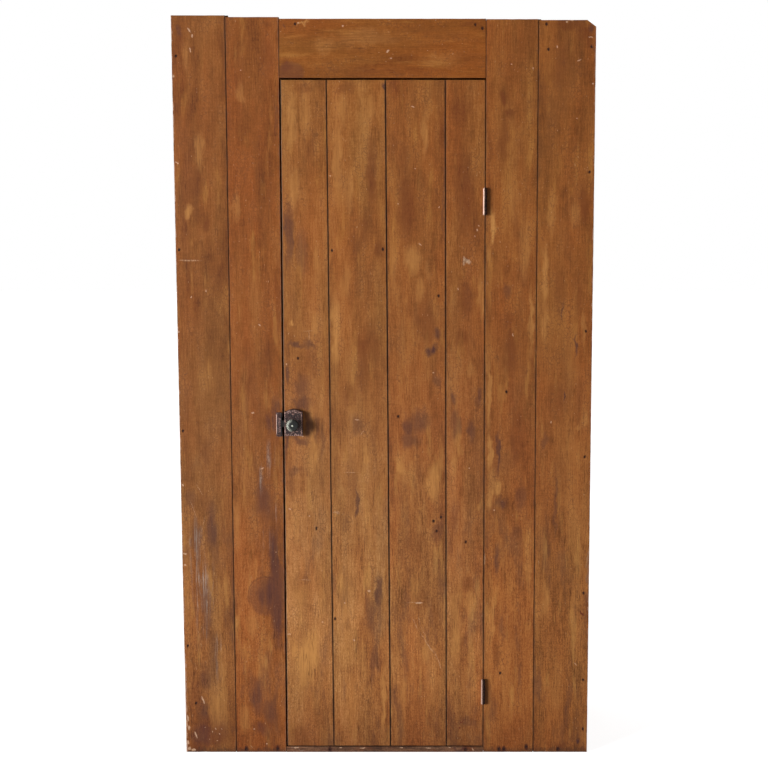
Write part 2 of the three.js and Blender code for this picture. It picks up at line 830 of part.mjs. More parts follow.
function addShelf(cupboard, index) {
  const half = insideHalf - seat;
  const underside = shelfUnderside(index);
  const low = [-half, carcassFrontY, underside];
  const high = [half, shelfBackY, underside + shelfThickness];
  cupboard.add(piece(`shelf_${index + 1}`, box(low, high), insideWood));
  const top = underside - seat;
  const front = carcassFrontY + cleatSetback;
  const profile = [
    [front + cleatFrontCut, top - cleatSize],
    [shelfBackY, top - cleatSize],
    [shelfBackY, top],
    [front, top],
    [front, top - cleatSize + cleatFrontCut],
  ];
  const leftCleat = runAlongX(profile, -half, -half + cleatSize);
  const rightCleat = runAlongX(profile, half - cleatSize, half);
  cupboard.add(piece(`left_cleat_${index + 1}`, leftCleat, insideWood));
  cupboard.add(piece(`right_cleat_${index + 1}`, rightCleat, insideWood));
}

function addBackBoards(cupboard) {
  const half = insideHalf + rabbetWidth - seat;
  const pitch = (2 * half + seamGap) / backBoardCount;
  const joint = {
    thickness: backThickness,
    tongueLength: backTongueLength,
    tongueThickness: backTongueThickness,
  };
  for (let i = 0; i < backBoardCount; i += 1) {
    const left = -half + i * pitch;
    const edges = { tongue: i < backBoardCount - 1, groove: i > 0 };
    const section = boardSection(left, left + pitch - seamGap, rearY, { ...joint, ...edges });
    cupboard.add(piece(`back_board_${i + 1}`, solid(raised(section, 0, sideHeight)), insideWood));
  }
}

const cupboard = new THREE.Group();
addSidePanel(cupboard, 'left_side_panel', -1);
addSidePanel(cupboard, 'right_side_panel', 1);
addBottomBoard(cupboard);
addTopBoard(cupboard);
for (let index = 0; index < shelfCount; index += 1) addShelf(cupboard, index);
addBackBoards(cupboard);
addStiles(cupboard);
addDoorBoards(cupboard);
addLedge(cupboard, 'lower_door_ledge', lowerLedgeBay, lowerLedgeShare);
addLedge(cupboard, 'upper_door_ledge', upperLedgeBay, upperLedgeShare);
addHinge(cupboard, 'lower', lowerHingeCentre);
addHinge(cupboard, 'upper', upperHingeCentre);
addLatch(cupboard);

export default cupboard;
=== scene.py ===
import bmesh
import bpy
import math
import random
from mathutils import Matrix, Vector


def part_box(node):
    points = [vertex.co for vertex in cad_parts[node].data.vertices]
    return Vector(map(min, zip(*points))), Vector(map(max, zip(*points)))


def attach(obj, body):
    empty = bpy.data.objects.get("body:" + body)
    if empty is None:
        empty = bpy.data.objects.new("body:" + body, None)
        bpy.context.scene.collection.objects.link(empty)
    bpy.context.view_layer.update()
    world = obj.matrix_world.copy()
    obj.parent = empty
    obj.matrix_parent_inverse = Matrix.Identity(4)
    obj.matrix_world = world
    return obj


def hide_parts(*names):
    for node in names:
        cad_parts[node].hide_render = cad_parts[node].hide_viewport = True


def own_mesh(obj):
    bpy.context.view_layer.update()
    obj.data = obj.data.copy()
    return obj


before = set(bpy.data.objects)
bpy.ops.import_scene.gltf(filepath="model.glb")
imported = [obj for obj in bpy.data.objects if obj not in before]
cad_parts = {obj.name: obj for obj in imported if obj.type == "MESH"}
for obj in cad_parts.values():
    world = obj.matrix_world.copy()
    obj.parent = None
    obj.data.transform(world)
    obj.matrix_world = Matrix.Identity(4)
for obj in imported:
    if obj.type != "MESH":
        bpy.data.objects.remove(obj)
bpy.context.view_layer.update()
print("frame loaded:", len(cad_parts), "nodes")

near = 0.0001  # how close a corner lies to count as being at a place


# Selecting, moving and finishing pieces

def clearSelection():
    if bpy.context.object and bpy.context.object.mode != "OBJECT":
        bpy.ops.object.mode_set(mode="OBJECT")
    bpy.ops.object.select_all(action="DESELECT")


def activate(piece):
    clearSelection()
    piece.select_set(True)
    bpy.context.view_layer.objects.active = piece


def editing(piece):
    activate(piece)
    bpy.ops.object.mode_set(mode="EDIT")
    bpy.ops.mesh.select_all(action="SELECT")


def settle(piece, name):  # its place, turn and size go into its mesh
    piece.name = name
    piece.data.name = name
    activate(piece)
    bpy.ops.object.transform_apply(location=True, rotation=True, scale=True)
    return piece


def addBlock(name, low, high):
    clearSelection()
    centre = [(a + b) / 2 for a, b in zip(low, high)]
    size = [b - a for a, b in zip(low, high)]
    bpy.ops.mesh.primitive_cube_add(size=1, location=centre, scale=size)
    return settle(bpy.context.object, name)


def addRound(name, radius, start, end, facets=24):  # a cylinder between two points on one axis
    clearSelection()
    line = Vector(end) - Vector(start)
    bpy.ops.mesh.primitive_cylinder_add(
        vertices=facets, radius=radius, depth=line.length, location=(Vector(start) + Vector(end)) / 2,
        rotation=Vector((0, 0, 1)).rotation_difference(line).to_euler())
    return settle(bpy.context.object, name)


def addCone(name, foot, head, depth, middle, turn):
    clearSelection()
    bpy.ops.mesh.primitive_cone_add(
        vertices=24, radius1=foot, radius2=head, depth=depth, location=middle, rotation=turn)
    return settle(bpy.context.object, name)


def addBall(name, place, size, tilt=0, finer=2):
    bpy.ops.mesh.primitive_ico_sphere_add(
        subdivisions=finer, radius=1, location=place, rotation=(0, math.radians(-tilt), 0), scale=size)
    return settle(bpy.context.object, name)


def pick(piece, kind, test):  # selects parts of the piece being edited by their place and direction
    bpy.ops.mesh.select_mode(type=kind)
    bpy.ops.mesh.select_all(action="DESELECT")
    shape = bmesh.from_edit_mesh(piece.data)
    if kind == "VERT":
        for vert in shape.verts:
            vert.select_set(bool(test(vert.co)))
    elif kind == "EDGE":
        for edge in shape.edges:
            edge.select_set(bool(test(edge.verts[0].co, edge.verts[1].co)))
    else:
        for face in shape.faces:
            face.select_set(bool(test(face.calc_center_median(), face.normal)))
    bmesh.update_edit_mesh(piece.data)


def pickFaces(piece, direction, sign):  # the faces that look along one axis
    pick(piece, "FACE", lambda middle, normal: normal[direction] * sign > 0.9)


def extrude(*move):
    bpy.ops.mesh.extrude_region_move(TRANSFORM_OT_translate={"value": move})


def widen(share, centre, along=2):  # resizes what is selected across one axis
    bpy.ops.transform.resize(
        value=[1 if axis == along else share for axis in range(3)], center_override=centre)


def cutAcross(point, normal, **settings):
    bpy.ops.mesh.select_all(action="SELECT")
    bpy.ops.mesh.bisect(plane_co=point, plane_no=normal, **settings)


def bevelEdges(piece, test, offset, segments=2):
    editing(piece)
    pick(piece, "EDGE", test)
    bpy.ops.mesh.bevel(offset=offset, segments=segments, affect="EDGES")
    clearSelection()


def alongAxis(a, b, axis):
    line = b - a
    return abs(line[axis]) > 0.9 * line.length


def rows(piece, axis, spacing):  # cuts every edge that runs along one axis into even steps
    editing(piece)
    ends = [[vert.co[axis] for vert in edge.verts] for edge in bmesh.from_edit_mesh(piece.data).edges]
    longest = max(abs(a - b) for a, b in ends)
    pick(piece, "EDGE", lambda a, b: abs(a[axis] - b[axis]) > spacing * 1.5 and alongAxis(a, b, axis))
    bpy.ops.mesh.subdivide(number_cuts=min(99, max(1, round(longest / spacing) - 1)))
    clearSelection()


def applyModifier(piece, kind, **settings):
    activate(piece)
    modifier = piece.modifiers.new(kind.lower(), kind)
    for key, value in settings.items():
        setattr(modifier, key, value)
    bpy.ops.object.modifier_apply(modifier=modifier.name)


def combine(pieces):
    activate(pieces[0])
    for other in pieces[1:]:
        other.select_set(True)
    if len(pieces) > 1:
        bpy.ops.object.join()
    return pieces[0]


def carve(piece, cutters, operation="DIFFERENCE"):
    if cutters:
        cutter = combine(cutters)
        applyModifier(piece, "BOOLEAN", object=cutter, operation=operation, solver="EXACT", use_self=True)
        bpy.data.objects.remove(cutter)


def copyOf(piece, name, offset):
    twin = piece.copy()
    twin.data = piece.data.copy()
    bpy.context.scene.collection.objects.link(twin)
    twin.location = offset
    return settle(twin, name)


def smooth(piece, degrees=32):
    activate(piece)
    bpy.ops.object.shade_smooth_by_angle(angle=math.radians(degrees))
    applyModifier(piece, "WEIGHTED_NORMAL", keep_sharp=True)


def dress(piece, body, nodes, material):
    clearSelection()
    piece.data.materials.clear()
    piece.data.materials.append(material)
    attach(piece, body)
    if nodes:
        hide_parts(*nodes)


def metres(*lengths):
    return tuple(length / 1000 for length in lengths)


# Node materials

def tone(red, green, blue):  # a screen colour as the shader's linear one
    linear = []
    for value in (red, green, blue):
        share = value / 255
        linear.append(share / 12.92 if share <= 0.04045 else ((share + 0.055) / 1.055) ** 2.4)
    return (*linear, 1)


def tones(*colours):
    return [tone(*colour) for colour in colours]


class Nodes:
    def __init__(self, name, tree=None):
        if tree:
            self.tree = tree
            return
        self.material = bpy.data.materials.new(name)
        self.material.use_nodes = True
        self.tree = self.material.node_tree
        self.shader = self.tree.nodes["Principled BSDF"]

    def add(self, kind, inputs=None, **settings):
        made = self.tree.nodes.new("ShaderNode" + kind)
        for key, value in settings.items():
            setattr(made, key, value)
        for key, value in (inputs or {}).items():
            self.feed(made.inputs[key], value)
        return made

    def feed(self, socket, value):
        if isinstance(value, bpy.types.NodeSocket):
            self.tree.links.new(value, socket)
        else:
            socket.default_value = value

    def calc(self, operation, a, b=0.0, c=0.0, clamp=False):
        return self.add("Math", {0: a, 1: b, 2: c}, operation=operation, use_clamp=clamp).outputs[0]

    def plus(self, a, b):
        return self.calc("ADD", a, b)

    def less(self, a, b, clamp=False):
        return self.calc("SUBTRACT", a, b, clamp=clamp)

    def times(self, a, b, clamp=False):
        return self.calc("MULTIPLY", a, b, clamp=clamp)

    def line(self, value, slope, start):  # value times slope, and start added
        return self.calc("MULTIPLY_ADD", value, slope, start)

    def vector(self, operation, a, b):
        return self.add("VectorMath", {0: a, 1: b}, operation=operation).outputs[0]

    def length(self, vector):
        return self.add("VectorMath", {0: vector}, operation="LENGTH").outputs["Value"]

    def axes(self, vector):
        return self.add("SeparateXYZ", {0: vector}).outputs

    def spread(self, value, low, high, toLow=0.0, toHigh=1.0, curve="SMOOTHSTEP"):
        inputs = {"Value": value, "From Min": low, "From Max": high, "To Min": toLow, "To Max": toHigh}
        return self.add("MapRange", inputs, interpolation_type=curve).outputs[0]

    def stretch(self, place, scale, offset=(0, 0, 0)):
        return self.add("Mapping", {"Vector": place, "Scale": scale, "Location": offset}).outputs[0]

    def noise(self, place, scale=1.0, detail=3.0, roughness=0.55, output="Fac"):
        inputs = {"Vector": place, "Scale": scale, "Detail": detail, "Roughness": roughness}
        return self.add("TexNoise", inputs).outputs[output]

    def streaks(self, place, scale, detail=3.0, roughness=0.55, offset=(0, 0, 0)):
        return self.noise(self.stretch(place, scale, offset), 1.0, detail, roughness)

    def shaken(self, place, scale, detail, reach):  # the place moved about a little in each direction
        noise = self.noise(self.stretch(place, scale), 1.0, detail, 0.6, "Color")
        noise = self.vector("SUBTRACT", noise, (0.5, 0.5, 0.5))
        return self.vector("ADD", place, self.vector("MULTIPLY", noise, reach))

    def mix(self, share, a, b, blend="MIX"):
        made = self.add("Mix", data_type="RGBA", blend_type=blend)
        for index, value in ((0, share), (6, a), (7, b)):
            self.feed(made.inputs[index], value)
        return made.outputs[2]

    def ramp(self, value, stops):
        made = self.add("ValToRGB", {"Fac": value})
        band = made.color_ramp
        while len(band.elements) < len(stops):
            band.elements.new(0.5)
        for element, (position, colour) in zip(band.elements, stops):
            element.position = position
            element.color = colour
        return made.outputs[0]

    def spots(self, place, marks, core):  # the strongest of several soft spots, each an ellipse in X and Z
        total = None
        for x, z, halfWidth, halfHeight, strength, tilt in marks:
            inputs = {
                "Vector": place,
                "Location": (x, 0, z),
                "Rotation": (0, math.radians(-tilt), 0),
                "Scale": (halfWidth, 10, halfHeight),
            }
            local = self.add("Mapping", inputs, vector_type="TEXTURE").outputs[0]
            ball = self.add("TexGradient", {"Vector": local}, gradient_type="SPHERICAL")  # 1 in its middle
            spot = self.spread(ball.outputs["Fac"], 0.0, 1.0 - core, 0.0, strength)
            total = spot if total is None else self.calc("MAXIMUM", total, spot)
        return total

    def shade(self, settings):
        for key, value in settings.items():
            self.feed(self.shader.inputs[key], value)

    def finish(self, colour, roughness, gloss, height, strength, distance):
        bump = self.add("Bump", {"Height": height, "Strength": strength, "Distance": distance}).outputs[0]
        self.shade({"Base Color": colour, "Roughness": roughness, "Specular IOR Level": gloss})
        self.shade({"Normal": bump})
        return self.material


# Stains, wear and painted sheen of the face, board by board, in millimetres on the front: x, z, half width,
# half height, then a stain's strength or a nick's tilt; a nail has its place only
stains = {
    "left_outer_board": {
        "gold": [(-482, 1385, 15, 24, 0.55), (-454, 1538, 17, 63, 0.45), (-438, 126, 23, 101, 0.45),
            (-506, 430, 13, 143, 0.3), (-486, 1767, 15, 48, 0.3), (-419, 166, 13, 159, 0.35),
            (-448, 969, 35, 50, 0.15)],
        "umber": [(-481, 19, 36, 22, 0.55), (-440, 44, 50, 44, 0.25), (-441, 1350, 12, 17, 0.5),
            (-495, 1345, 10, 34, 0.35), (-461, 789, 8, 5, 0.5), (-495, 1803, 12, 19, 0.35),
            (-463, 1465, 25, 61, 0.22), (-446, 786, 20, 41, 0.2)],
        "plum": [(-442, 591, 20, 88, 0.55), (-481, 565, 18, 72, 0.4), (-457, 372, 23, 110, 0.4),
            (-441, 240, 23, 119, 0.3), (-499, 989, 5, 4, 0.7), (-476, 46, 38, 44, 0.55),
            (-462, 200, 24, 50, 0.35), (-470, 110, 20, 40, 0.45), (-497, 1827, 10, 19, 0.4),
            (-494, 663, 20, 36, 0.3)],
        "hazeAndSheen": [(-483, 565, 20, 80, 0.5), (-469, 430, 26, 120, 0.7), (-439, 443, 16, 90, 0.5),
            (-467, 340, 22, 60, 0.5), (-430, 250, 16, 90, 0.4), (-478, 480, 30, 130, 0.35)],
        "rust": [(-452, 60, 60, 62, 0.2), (-490, 150, 24, 60, 0.15)],
        "nicks": [(-516, 112, 3, 9, 0), (-515, 78, 3.4, 14, 4), (-516, 45, 3.2, 11, -4),
            (-512, 26, 4, 6, 20), (-509, 10, 5, 5, 0), (-498, 6, 7, 4, 0), (-473, 1827, 1.9, 8.1, 35),
            (-466, 1813, 2.4, 4.8, 0), (-471, 1779, 1.7, 7.2, 10), (-514, 1717, 3.9, 3.8, 0),
            (-509, 1507, 5.9, 1.7, -35), (-514, 1090, 2.5, 3, 0), (-510, 524, 7.6, 2.6, -5),
            (-510, 495, 4.6, 2.6, 0), (-511, 702, 2.5, 4.1, 0), (-511, 91, 2.6, 10.7, 8),
            (-509, 65, 3.1, 8, 0), (-513, 27, 3.1, 5.4, 0), (-491, 46, 2.6, 10.7, 20),
            (-444, 1192, 1.7, 3.5, 0), (-481, 1177, 1.5, 3.5, 0), (-471, 139, 2.1, 13.3, 20),
            (-440, 62, 1.3, 3, 10), (-449, 55, 1.5, 2.4, -20), (-430, 48, 1.2, 3, 0),
            (-456, 34, 1.2, 1.6, 0), (-467, 66, 1.1, 2.2, 0), (-436, 31, 1.3, 1.5, 30),
            (-424, 62, 1.1, 2.6, 0)],
        "scratches": [(-470, 690, 1, 24, 30), (-486, 640, 1, 30, 20), (-462, 600, 1, 26, -12),
            (-480, 1268, 34, 2.6, -1), (-498, 1268, 16, 2, 0)],
        "nails": [(-506, 1765), (-508, 1294), (-508, 840), (-507, 283), (-489, 131)],
    },
    "left_inner_board": {
        "gold": [(-351, 1679, 15, 38, 0.3), (-366, 1404, 12, 59, 0.3), (-322, 1170, 22, 112, 0.2),
            (-364, 86, 21, 53, 0.35), (-342, 338, 20, 47, 0.3), (-318, 232, 15, 79, 0.3),
            (-379, 612, 13, 103, 0.25)],
        "umber": [(-287, 1755, 22, 72, 0.28), (-265, 1170, 8, 149, 0.3), (-285, 791, 20, 102, 0.35),
            (-329, 65, 31, 27, 0.3), (-283, 11, 8, 8, 0.7), (-362, 8, 8, 8, 0.7),
            (-286, 1841, 12, 14, 0.35)],
        "pool": [(-308, 412, 45, 55, 0.52), (-276, 430, 26, 80, 0.6)],
        "arc": [(-308, 412, 46, 56, 0.4)],
        "plum": [(-310, 671, 28, 87, 0.45), (-292, 425, 30, 60, 0.75), (-316, 409, 13, 39, 0.55),
            (-284, 508, 18, 109, 0.6), (-278, 372, 22, 131, 0.65), (-330, 153, 26, 69, 0.5),
            (-320, 60, 30, 26, 0.4), (-300, 110, 26, 40, 0.35), (-272, 868, 15, 80, 0.65),
            (-265, 1611, 5, 72, 0.3), (-290, 860, 12, 40, 0.4)],
        "hazeAndSheen": [(-315, 715, 12, 60, 0.45), (-290, 770, 20, 60, 0.4), (-280, 640, 12, 60, 0.3),
            (-300, 560, 20, 50, 0.2)],
        "nicks": [(-312, 1107, 4.2, 2.2, -35), (-332, 886, 4.5, 2.5, 0), (-311, 744, 5.5, 2, 20),
            (-348, 1731, 1.7, 1.7, 0), (-341, 62, 3.6, 2.1, 0), (-309, 22, 2.3, 2.4, 0),
            (-279, 529, 1.8, 1.8, 0)],
        "nails": [(-281, 9), (-362, 8)],
    },
    "top_rail": {
        "gold": [(-196, 1844, 22, 5, 0.7), (-45, 1808, 102, 29, 0.25), (137, 1755, 73, 24, 0.2),
            (-143, 1791, 39, 33, 0.25)],
        "pool": [(-226, 1727, 34, 28, 0.45)],
        "umber": [(-236, 1741, 20, 24, 0.45), (210, 1841, 39, 12, 0.35), (39, 1727, 146, 10, 0.25),
            (88, 1827, 97, 12, 0.2)],
        "plum": [(-242, 1841, 7, 10, 0.4)],
        "nicks": [(-99, 1837, 3.4, 2.4, 30), (10, 1777, 5.8, 2.2, 40), (18, 1760, 3.2, 2.4, 0),
            (-208, 1844, 2.9, 1.9, 0), (127, 1851, 2.4, 1.7, 0)],
        "nails": [(-215, 1841), (223, 1840), (240, 1831)],
    },
    "door_board_1": {
        "straw": [(-206, 250, 44, 70, 0.95), (-182, 300, 24, 50, 0.6), (-176, 786, 9, 40, 0.35)],
        "gold": [(-228, 1611, 17, 92, 0.5), (-191, 1630, 20, 72, 0.35), (-222, 1441, 20, 63, 0.45),
            (-167, 1264, 12, 64, 0.4), (-176, 1107, 15, 45, 0.45), (-182, 786, 18, 71, 0.4),
            (-192, 267, 23, 63, 0.95), (-238, 277, 13, 42, 0.8), (-208, 214, 36, 74, 0.5),
            (-224, 604, 20, 77, 0.3), (-163, 404, 13, 104, 0.3), (-219, 414, 31, 52, 0.3),
            (-232, 1110, 9, 9, 0.8)],
        "umber": [(-182, 1014, 22, 55, 0.35), (-195, 1688, 39, 17, 0.3), (-236, 1080, 15, 25, 0.25),
            (-223, 46, 52, 32, 0.3), (-177, 1538, 15, 48, 0.25)],
        "plum": [(-236, 1331, 15, 110, 0.55), (-204, 1289, 22, 89, 0.3), (-219, 1057, 30, 12, 0.55),
            (-189, 1057, 25, 12, 0.45), (-205, 949, 32, 50, 0.4), (-243, 989, 8, 40, 0.6),
            (-206, 913, 38, 25, 0.55), (-215, 814, 33, 15, 0.45), (-157, 817, 10, 76, 0.3),
            (-248, 817, 5, 61, 0.5), (-225, 740, 23, 20, 0.3), (-192, 858, 16, 60, 0.6),
            (-172, 850, 10, 50, 0.4)],
        "nicks": [(-193, 622, 2.5, 2.6, 0), (-248, 314, 6.1, 1.8, 0), (-208, 826, 2.5, 2.5, 0),
            (-246, 1009, 2.5, 3.5, 0), (-162, 346, 2.6, 2.1, 0), (-242, 640, 4, 2.1, 0)],
        "scratches": [(-206, 456, 21.6, 1.3, 0), (-189, 1092, 19.9, 1, 0), (-189, 1080, 1, 17.5, 0)],
        "nails": [(-217, 1024), (-175, 590)],
    },
    "door_board_2": {
        "straw": [(-60, 250, 12, 80, 0.35)],
        "gold": [(-116, 1514, 17, 150, 0.45), (-105, 1640, 22, 63, 0.35), (-89, 1441, 20, 78, 0.35),
            (-122, 1095, 15, 120, 0.7), (-102, 404, 20, 110, 0.4), (-6, 139, 9, 133, 0.6),
            (-88, 139, 21, 85, 0.3), (-49, 774, 9, 56, 0.6), (-103, 285, 23, 79, 0.25),
            (-32, 1635, 17, 48, 0.3), (-96, 1219, 20, 62, 0.3)],
        "umber": [(-30, 1490, 20, 109, 0.6), (-51, 1338, 17, 64, 0.4), (-16, 1294, 20, 34, 0.4),
            (-57, 1014, 25, 113, 0.5), (-32, 1057, 25, 70, 0.35), (-85, 710, 23, 87, 0.35),
            (-95, 1688, 39, 14, 0.3), (-88, 931, 30, 40, 0.3), (-51, 351, 20, 79, 0.3)],
        "plum": [(0, 1693, 10, 10, 0.85), (-20, 424, 13, 73, 0.6), (-72, 650, 6, 62, 0.6),
            (-38, 364, 20, 68, 0.35), (-68, 855, 30, 36, 0.35), (-26, 272, 10, 79, 0.3)],
        "hazeAndSheen": [(-115, 632, 15, 5, 0.4)],
        "nicks": [(-71, 868, 6.5, 1.5, 0), (-133, 1475, 2.5, 2, 0), (-105, 396, 2.5, 2.6, 0),
            (-43, 427, 4.1, 3.7, 0), (-82, 298, 2.6, 2.6, 0)],
        "scratches": [(-59, 835, 1.3, 12.7, -35), (-87, 734, 22.7, 1, 0), (-126, 632, 10.1, 2.6, 0)],
        "nails": [(-130, 1292), (-4, 1295), (-130, 354)],
    },
    "door_board_3": {
        "straw": [(118, 712, 20, 62, 0.25), (110, 1240, 12, 40, 0.25)],
        "gold": [(100, 1582, 12, 77, 0.45), (70, 1274, 30, 54, 0.5), (120, 710, 30, 67, 0.62),
            (34, 751, 18, 31, 0.65), (74, 424, 15, 68, 0.35), (102, 267, 13, 42, 0.5),
            (45, 166, 13, 58, 0.4), (88, 1194, 20, 40, 0.3), (21, 1244, 12, 99, 0.3),
            (137, 766, 13, 76, 0.4)],
        "umber": [(51, 1397, 30, 127, 0.5), (46, 1514, 20, 73, 0.35), (102, 1115, 30, 85, 0.4),
            (89, 398, 31, 52, 0.3), (39, 560, 20, 67, 0.3), (140, 1587, 7, 72, 0.35),
            (20, 1693, 15, 12, 0.5), (122, 351, 20, 79, 0.3), (82, 547, 25, 52, 0.25)],
        "plum": [(84, 862, 38, 42, 0.45), (117, 1045, 18, 20, 0.75), (130, 1085, 15, 25, 0.5),
            (57, 850, 20, 42, 0.5), (97, 868, 18, 38, 0.4), (62, 817, 35, 31, 0.45),
            (130, 969, 12, 30, 0.45), (130, 581, 20, 36, 0.3), (147, 1417, 5, 146, 0.3)],
        "nicks": [(71, 1643, 6.4, 1.2, -15), (135, 1399, 2, 2.2, 0), (76, 1493, 2, 1.7, 0),
            (88, 1308, 4.9, 1.5, -40), (121, 988, 2, 3, 0), (84, 396, 10.2, 2.6, 0),
            (34, 1407, 1.7, 2.2, 0)],
        "scratches": [(98, 315, 1, 30, 28), (112, 280, 1.2, 28, 35), (126, 262, 1, 20, 20),
            (84, 352, 1, 14, 15), (74, 397, 28, 1.3, 0), (74, 341, 1.5, 21, 25), (104, 291, 1.5, 39.5, 32),
            (135, 240, 1.5, 26.4, 18)],
        "nails": [(134, 1180), (33, 877), (121, 609), (140, 619), (129, 583)],
    },
    "door_board_4": {
        "straw": [(176, 300, 12, 70, 0.4)],
        "gold": [(239, 1165, 8, 80, 0.35), (239, 645, 10, 16, 0.45), (217, 398, 20, 37, 0.45),
            (179, 293, 20, 84, 0.45), (225, 166, 15, 53, 0.35), (176, 377, 15, 78, 0.4),
            (167, 1170, 10, 50, 0.25), (212, 994, 15, 35, 0.3)],
        "umber": [(199, 1417, 34, 146, 0.45), (204, 1170, 32, 60, 0.5), (192, 1075, 30, 30, 0.35),
            (204, 443, 25, 31, 0.4), (196, 298, 15, 26, 0.35), (186, 1635, 34, 48, 0.3),
            (231, 1343, 12, 74, 0.3)],
        "plum": [(178, 858, 18, 56, 0.4), (215, 842, 15, 36, 0.45), (235, 931, 12, 30, 0.4),
            (170, 929, 10, 25, 0.5), (207, 81, 31, 21, 0.3), (175, 612, 15, 77, 0.2)],
        "smear": [(204, 1266, 15, 8, 0.9)],
        "rust": [(176, 101, 2.5, 5, 0.8), (179, 81, 2, 6, 0.8), (194, 81, 2, 5, 0.8),
            (188, 59, 2, 6, 0.8)],
        "nicks": [(182, 1197, 1.5, 4, 0), (229, 1343, 2, 3.9, 0), (224, 1328, 1.5, 2.5, 0),
            (233, 1353, 2, 2, 0), (211, 745, 1.8, 1.8, 0)],
        "nails": [(203, 555)],
    },
    "right_inner_board": {
        "straw": [(265, 715, 14, 54, 0.35), (266, 1348, 9, 48, 0.45)],
        "gold": [(266, 1348, 12, 64, 0.75), (258, 1281, 10, 25, 0.4), (347, 1294, 20, 108, 0.3),
            (260, 939, 9, 131, 0.55), (263, 786, 10, 66, 0.75), (281, 699, 15, 28, 0.75),
            (364, 1115, 9, 124, 0.5), (361, 503, 10, 114, 0.4), (270, 346, 8, 105, 0.45),
            (319, 1417, 20, 73, 0.2), (261, 663, 8, 51, 0.5)],
        "umber": [(291, 1664, 12, 24, 0.6), (306, 1628, 20, 12, 0.55), (292, 1563, 22, 73, 0.4),
            (260, 1534, 10, 63, 0.45), (312, 1032, 30, 80, 0.5), (304, 1120, 20, 35, 0.35),
            (328, 842, 28, 101, 0.3), (284, 259, 15, 37, 0.4), (329, 298, 31, 105, 0.2),
            (290, 8, 8, 8, 0.8), (360, 19, 5, 16, 0.7)],
        "plum": [(283, 786, 6, 82, 0.55), (294, 658, 20, 26, 0.45), (282, 503, 10, 62, 0.5),
            (340, 663, 23, 51, 0.3), (306, 1194, 20, 30, 0.3)],
        "nicks": [(312, 1746, 2.4, 1.7, 0), (364, 1736, 1.9, 1.7, 0), (319, 1082, 1.2, 5, 5),
            (274, 637, 1.8, 1.8, 0)],
        "scratches": [(251, 508, 2, 23.4, 0)],
        "nails": [(304, 939), (292, 211), (290, 8), (303, 8), (360, 14)],
    },
    "right_outer_board": {
        "gold": [(398, 1232, 12, 109, 0.6), (399, 1115, 12, 60, 0.45), (413, 1380, 15, 78, 0.3),
            (405, 398, 13, 68, 0.45), (499, 868, 10, 30, 0.45), (496, 1095, 10, 55, 0.35),
            (470, 1380, 20, 49, 0.25), (484, 853, 10, 10, 0.35)],
        "umber": [(492, 1412, 17, 68, 0.45), (435, 1194, 22, 104, 0.35), (480, 1170, 12, 80, 0.35),
            (429, 1743, 39, 96, 0.35), (502, 1803, 12, 33, 0.4), (425, 913, 30, 66, 0.35),
            (502, 367, 8, 4, 0.6), (440, 715, 30, 77, 0.25), (515, 404, 5, 234, 0.35),
            (447, 22, 26, 11, 0.4), (450, 1840, 62, 14, 0.45), (488, 1822, 26, 26, 0.4)],
        "plum": [(448, 921, 4, 18, 0.8), (431, 650, 6, 141, 0.35), (401, 817, 13, 31, 0.35),
            (496, 32, 6, 7, 0.75), (476, 1057, 5, 45, 0.6), (443, 1140, 3, 25, 0.6),
            (506, 1832, 12, 16, 0.5), (512, 1770, 5, 40, 0.35)],
        "hazeAndSheen": [(514, 469, 4, 104, 0.3)],
        "rust": [(505, 62, 2.5, 7, 0.7), (502, 367, 3, 5, 0.7)],
        "nicks": [(422, 1787, 1.5, 4.3, 0), (476, 1755, 7.3, 1.2, 30), (504, 1810, 7.3, 1.4, 0),
            (510, 1699, 2.4, 2.9, 0), (472, 1615, 2.2, 1.4, 0), (416, 863, 1.8, 3.3, 0),
            (484, 235, 6.7, 1.1, -40), (445, 1846, 3.4, 2.1, 0), (457, 1850, 4.9, 1.7, 0)],
        "scratches": [(513, 521, 1.5, 36.3, -8)],
        "nails": [(401, 1781), (506, 1787), (505, 1485), (501, 1092), (502, 774), (503, 422), (505, 193),
            (506, 62), (442, 8), (396, 1841)],
    },
    "bottom_board": {
        "umber": [(-60, 9, 40, 6, 0.4), (150, 4, 60, 4, 0.5), (210, 9, 25, 8, 0.6)],
        "plum": [(190, 9, 20, 7, 0.7), (-150, 5, 30, 5, 0.4)],
        "hazeAndSheen": [(-225, 12, 26, 3, 0.7)],
        "nicks": [(222, 8, 1.5, 6, 20), (-232, 12, 8, 2, 0), (-118, 12, 5, 1.5, 0), (-62, 11, 10, 1.5, 0),
            (38, 12, 6, 1.5, 0), (108, 11, 9, 1.5, 0), (163, 12, 4, 2, 0)],
        "nails": [(204, 7), (-146, 7)],
    },
}
overlays = {  # each kind of stain: its colour, how hard its edge is, and how much the grain breaks it up
    "gold": {"colour": tone(190, 132, 72), "core": 0.25, "broken": 0.5, "force": 1.2},
    "umber": {"colour": tone(104, 52, 24), "core": 0.3, "broken": 0.45, "force": 1.35},
    "plum": {"colour": tone(74, 45, 42), "core": 0.25, "broken": 0.45, "force": 1.45},
    "pool": {"colour": tone(96, 56, 42), "core": 0.8, "broken": 0.3, "force": 1.0},
    # a pale grey haze that is a painted reflection: the sheen of scratched varnish, broken along the grain
    "hazeAndSheen": {"colour": tone(176, 166, 154), "core": 0.0, "broken": 1.0, "force": 1.2},
    "straw": {"colour": tone(196, 138, 76), "core": 0.2, "broken": 0.5, "force": 1.05},
    "smear": {"colour": tone(206, 172, 140), "core": 0.2, "broken": 0.25, "force": 1.0},
    "rust": {"colour": tone(96, 38, 26), "core": 0.4, "broken": 0.2, "force": 1.2},
}
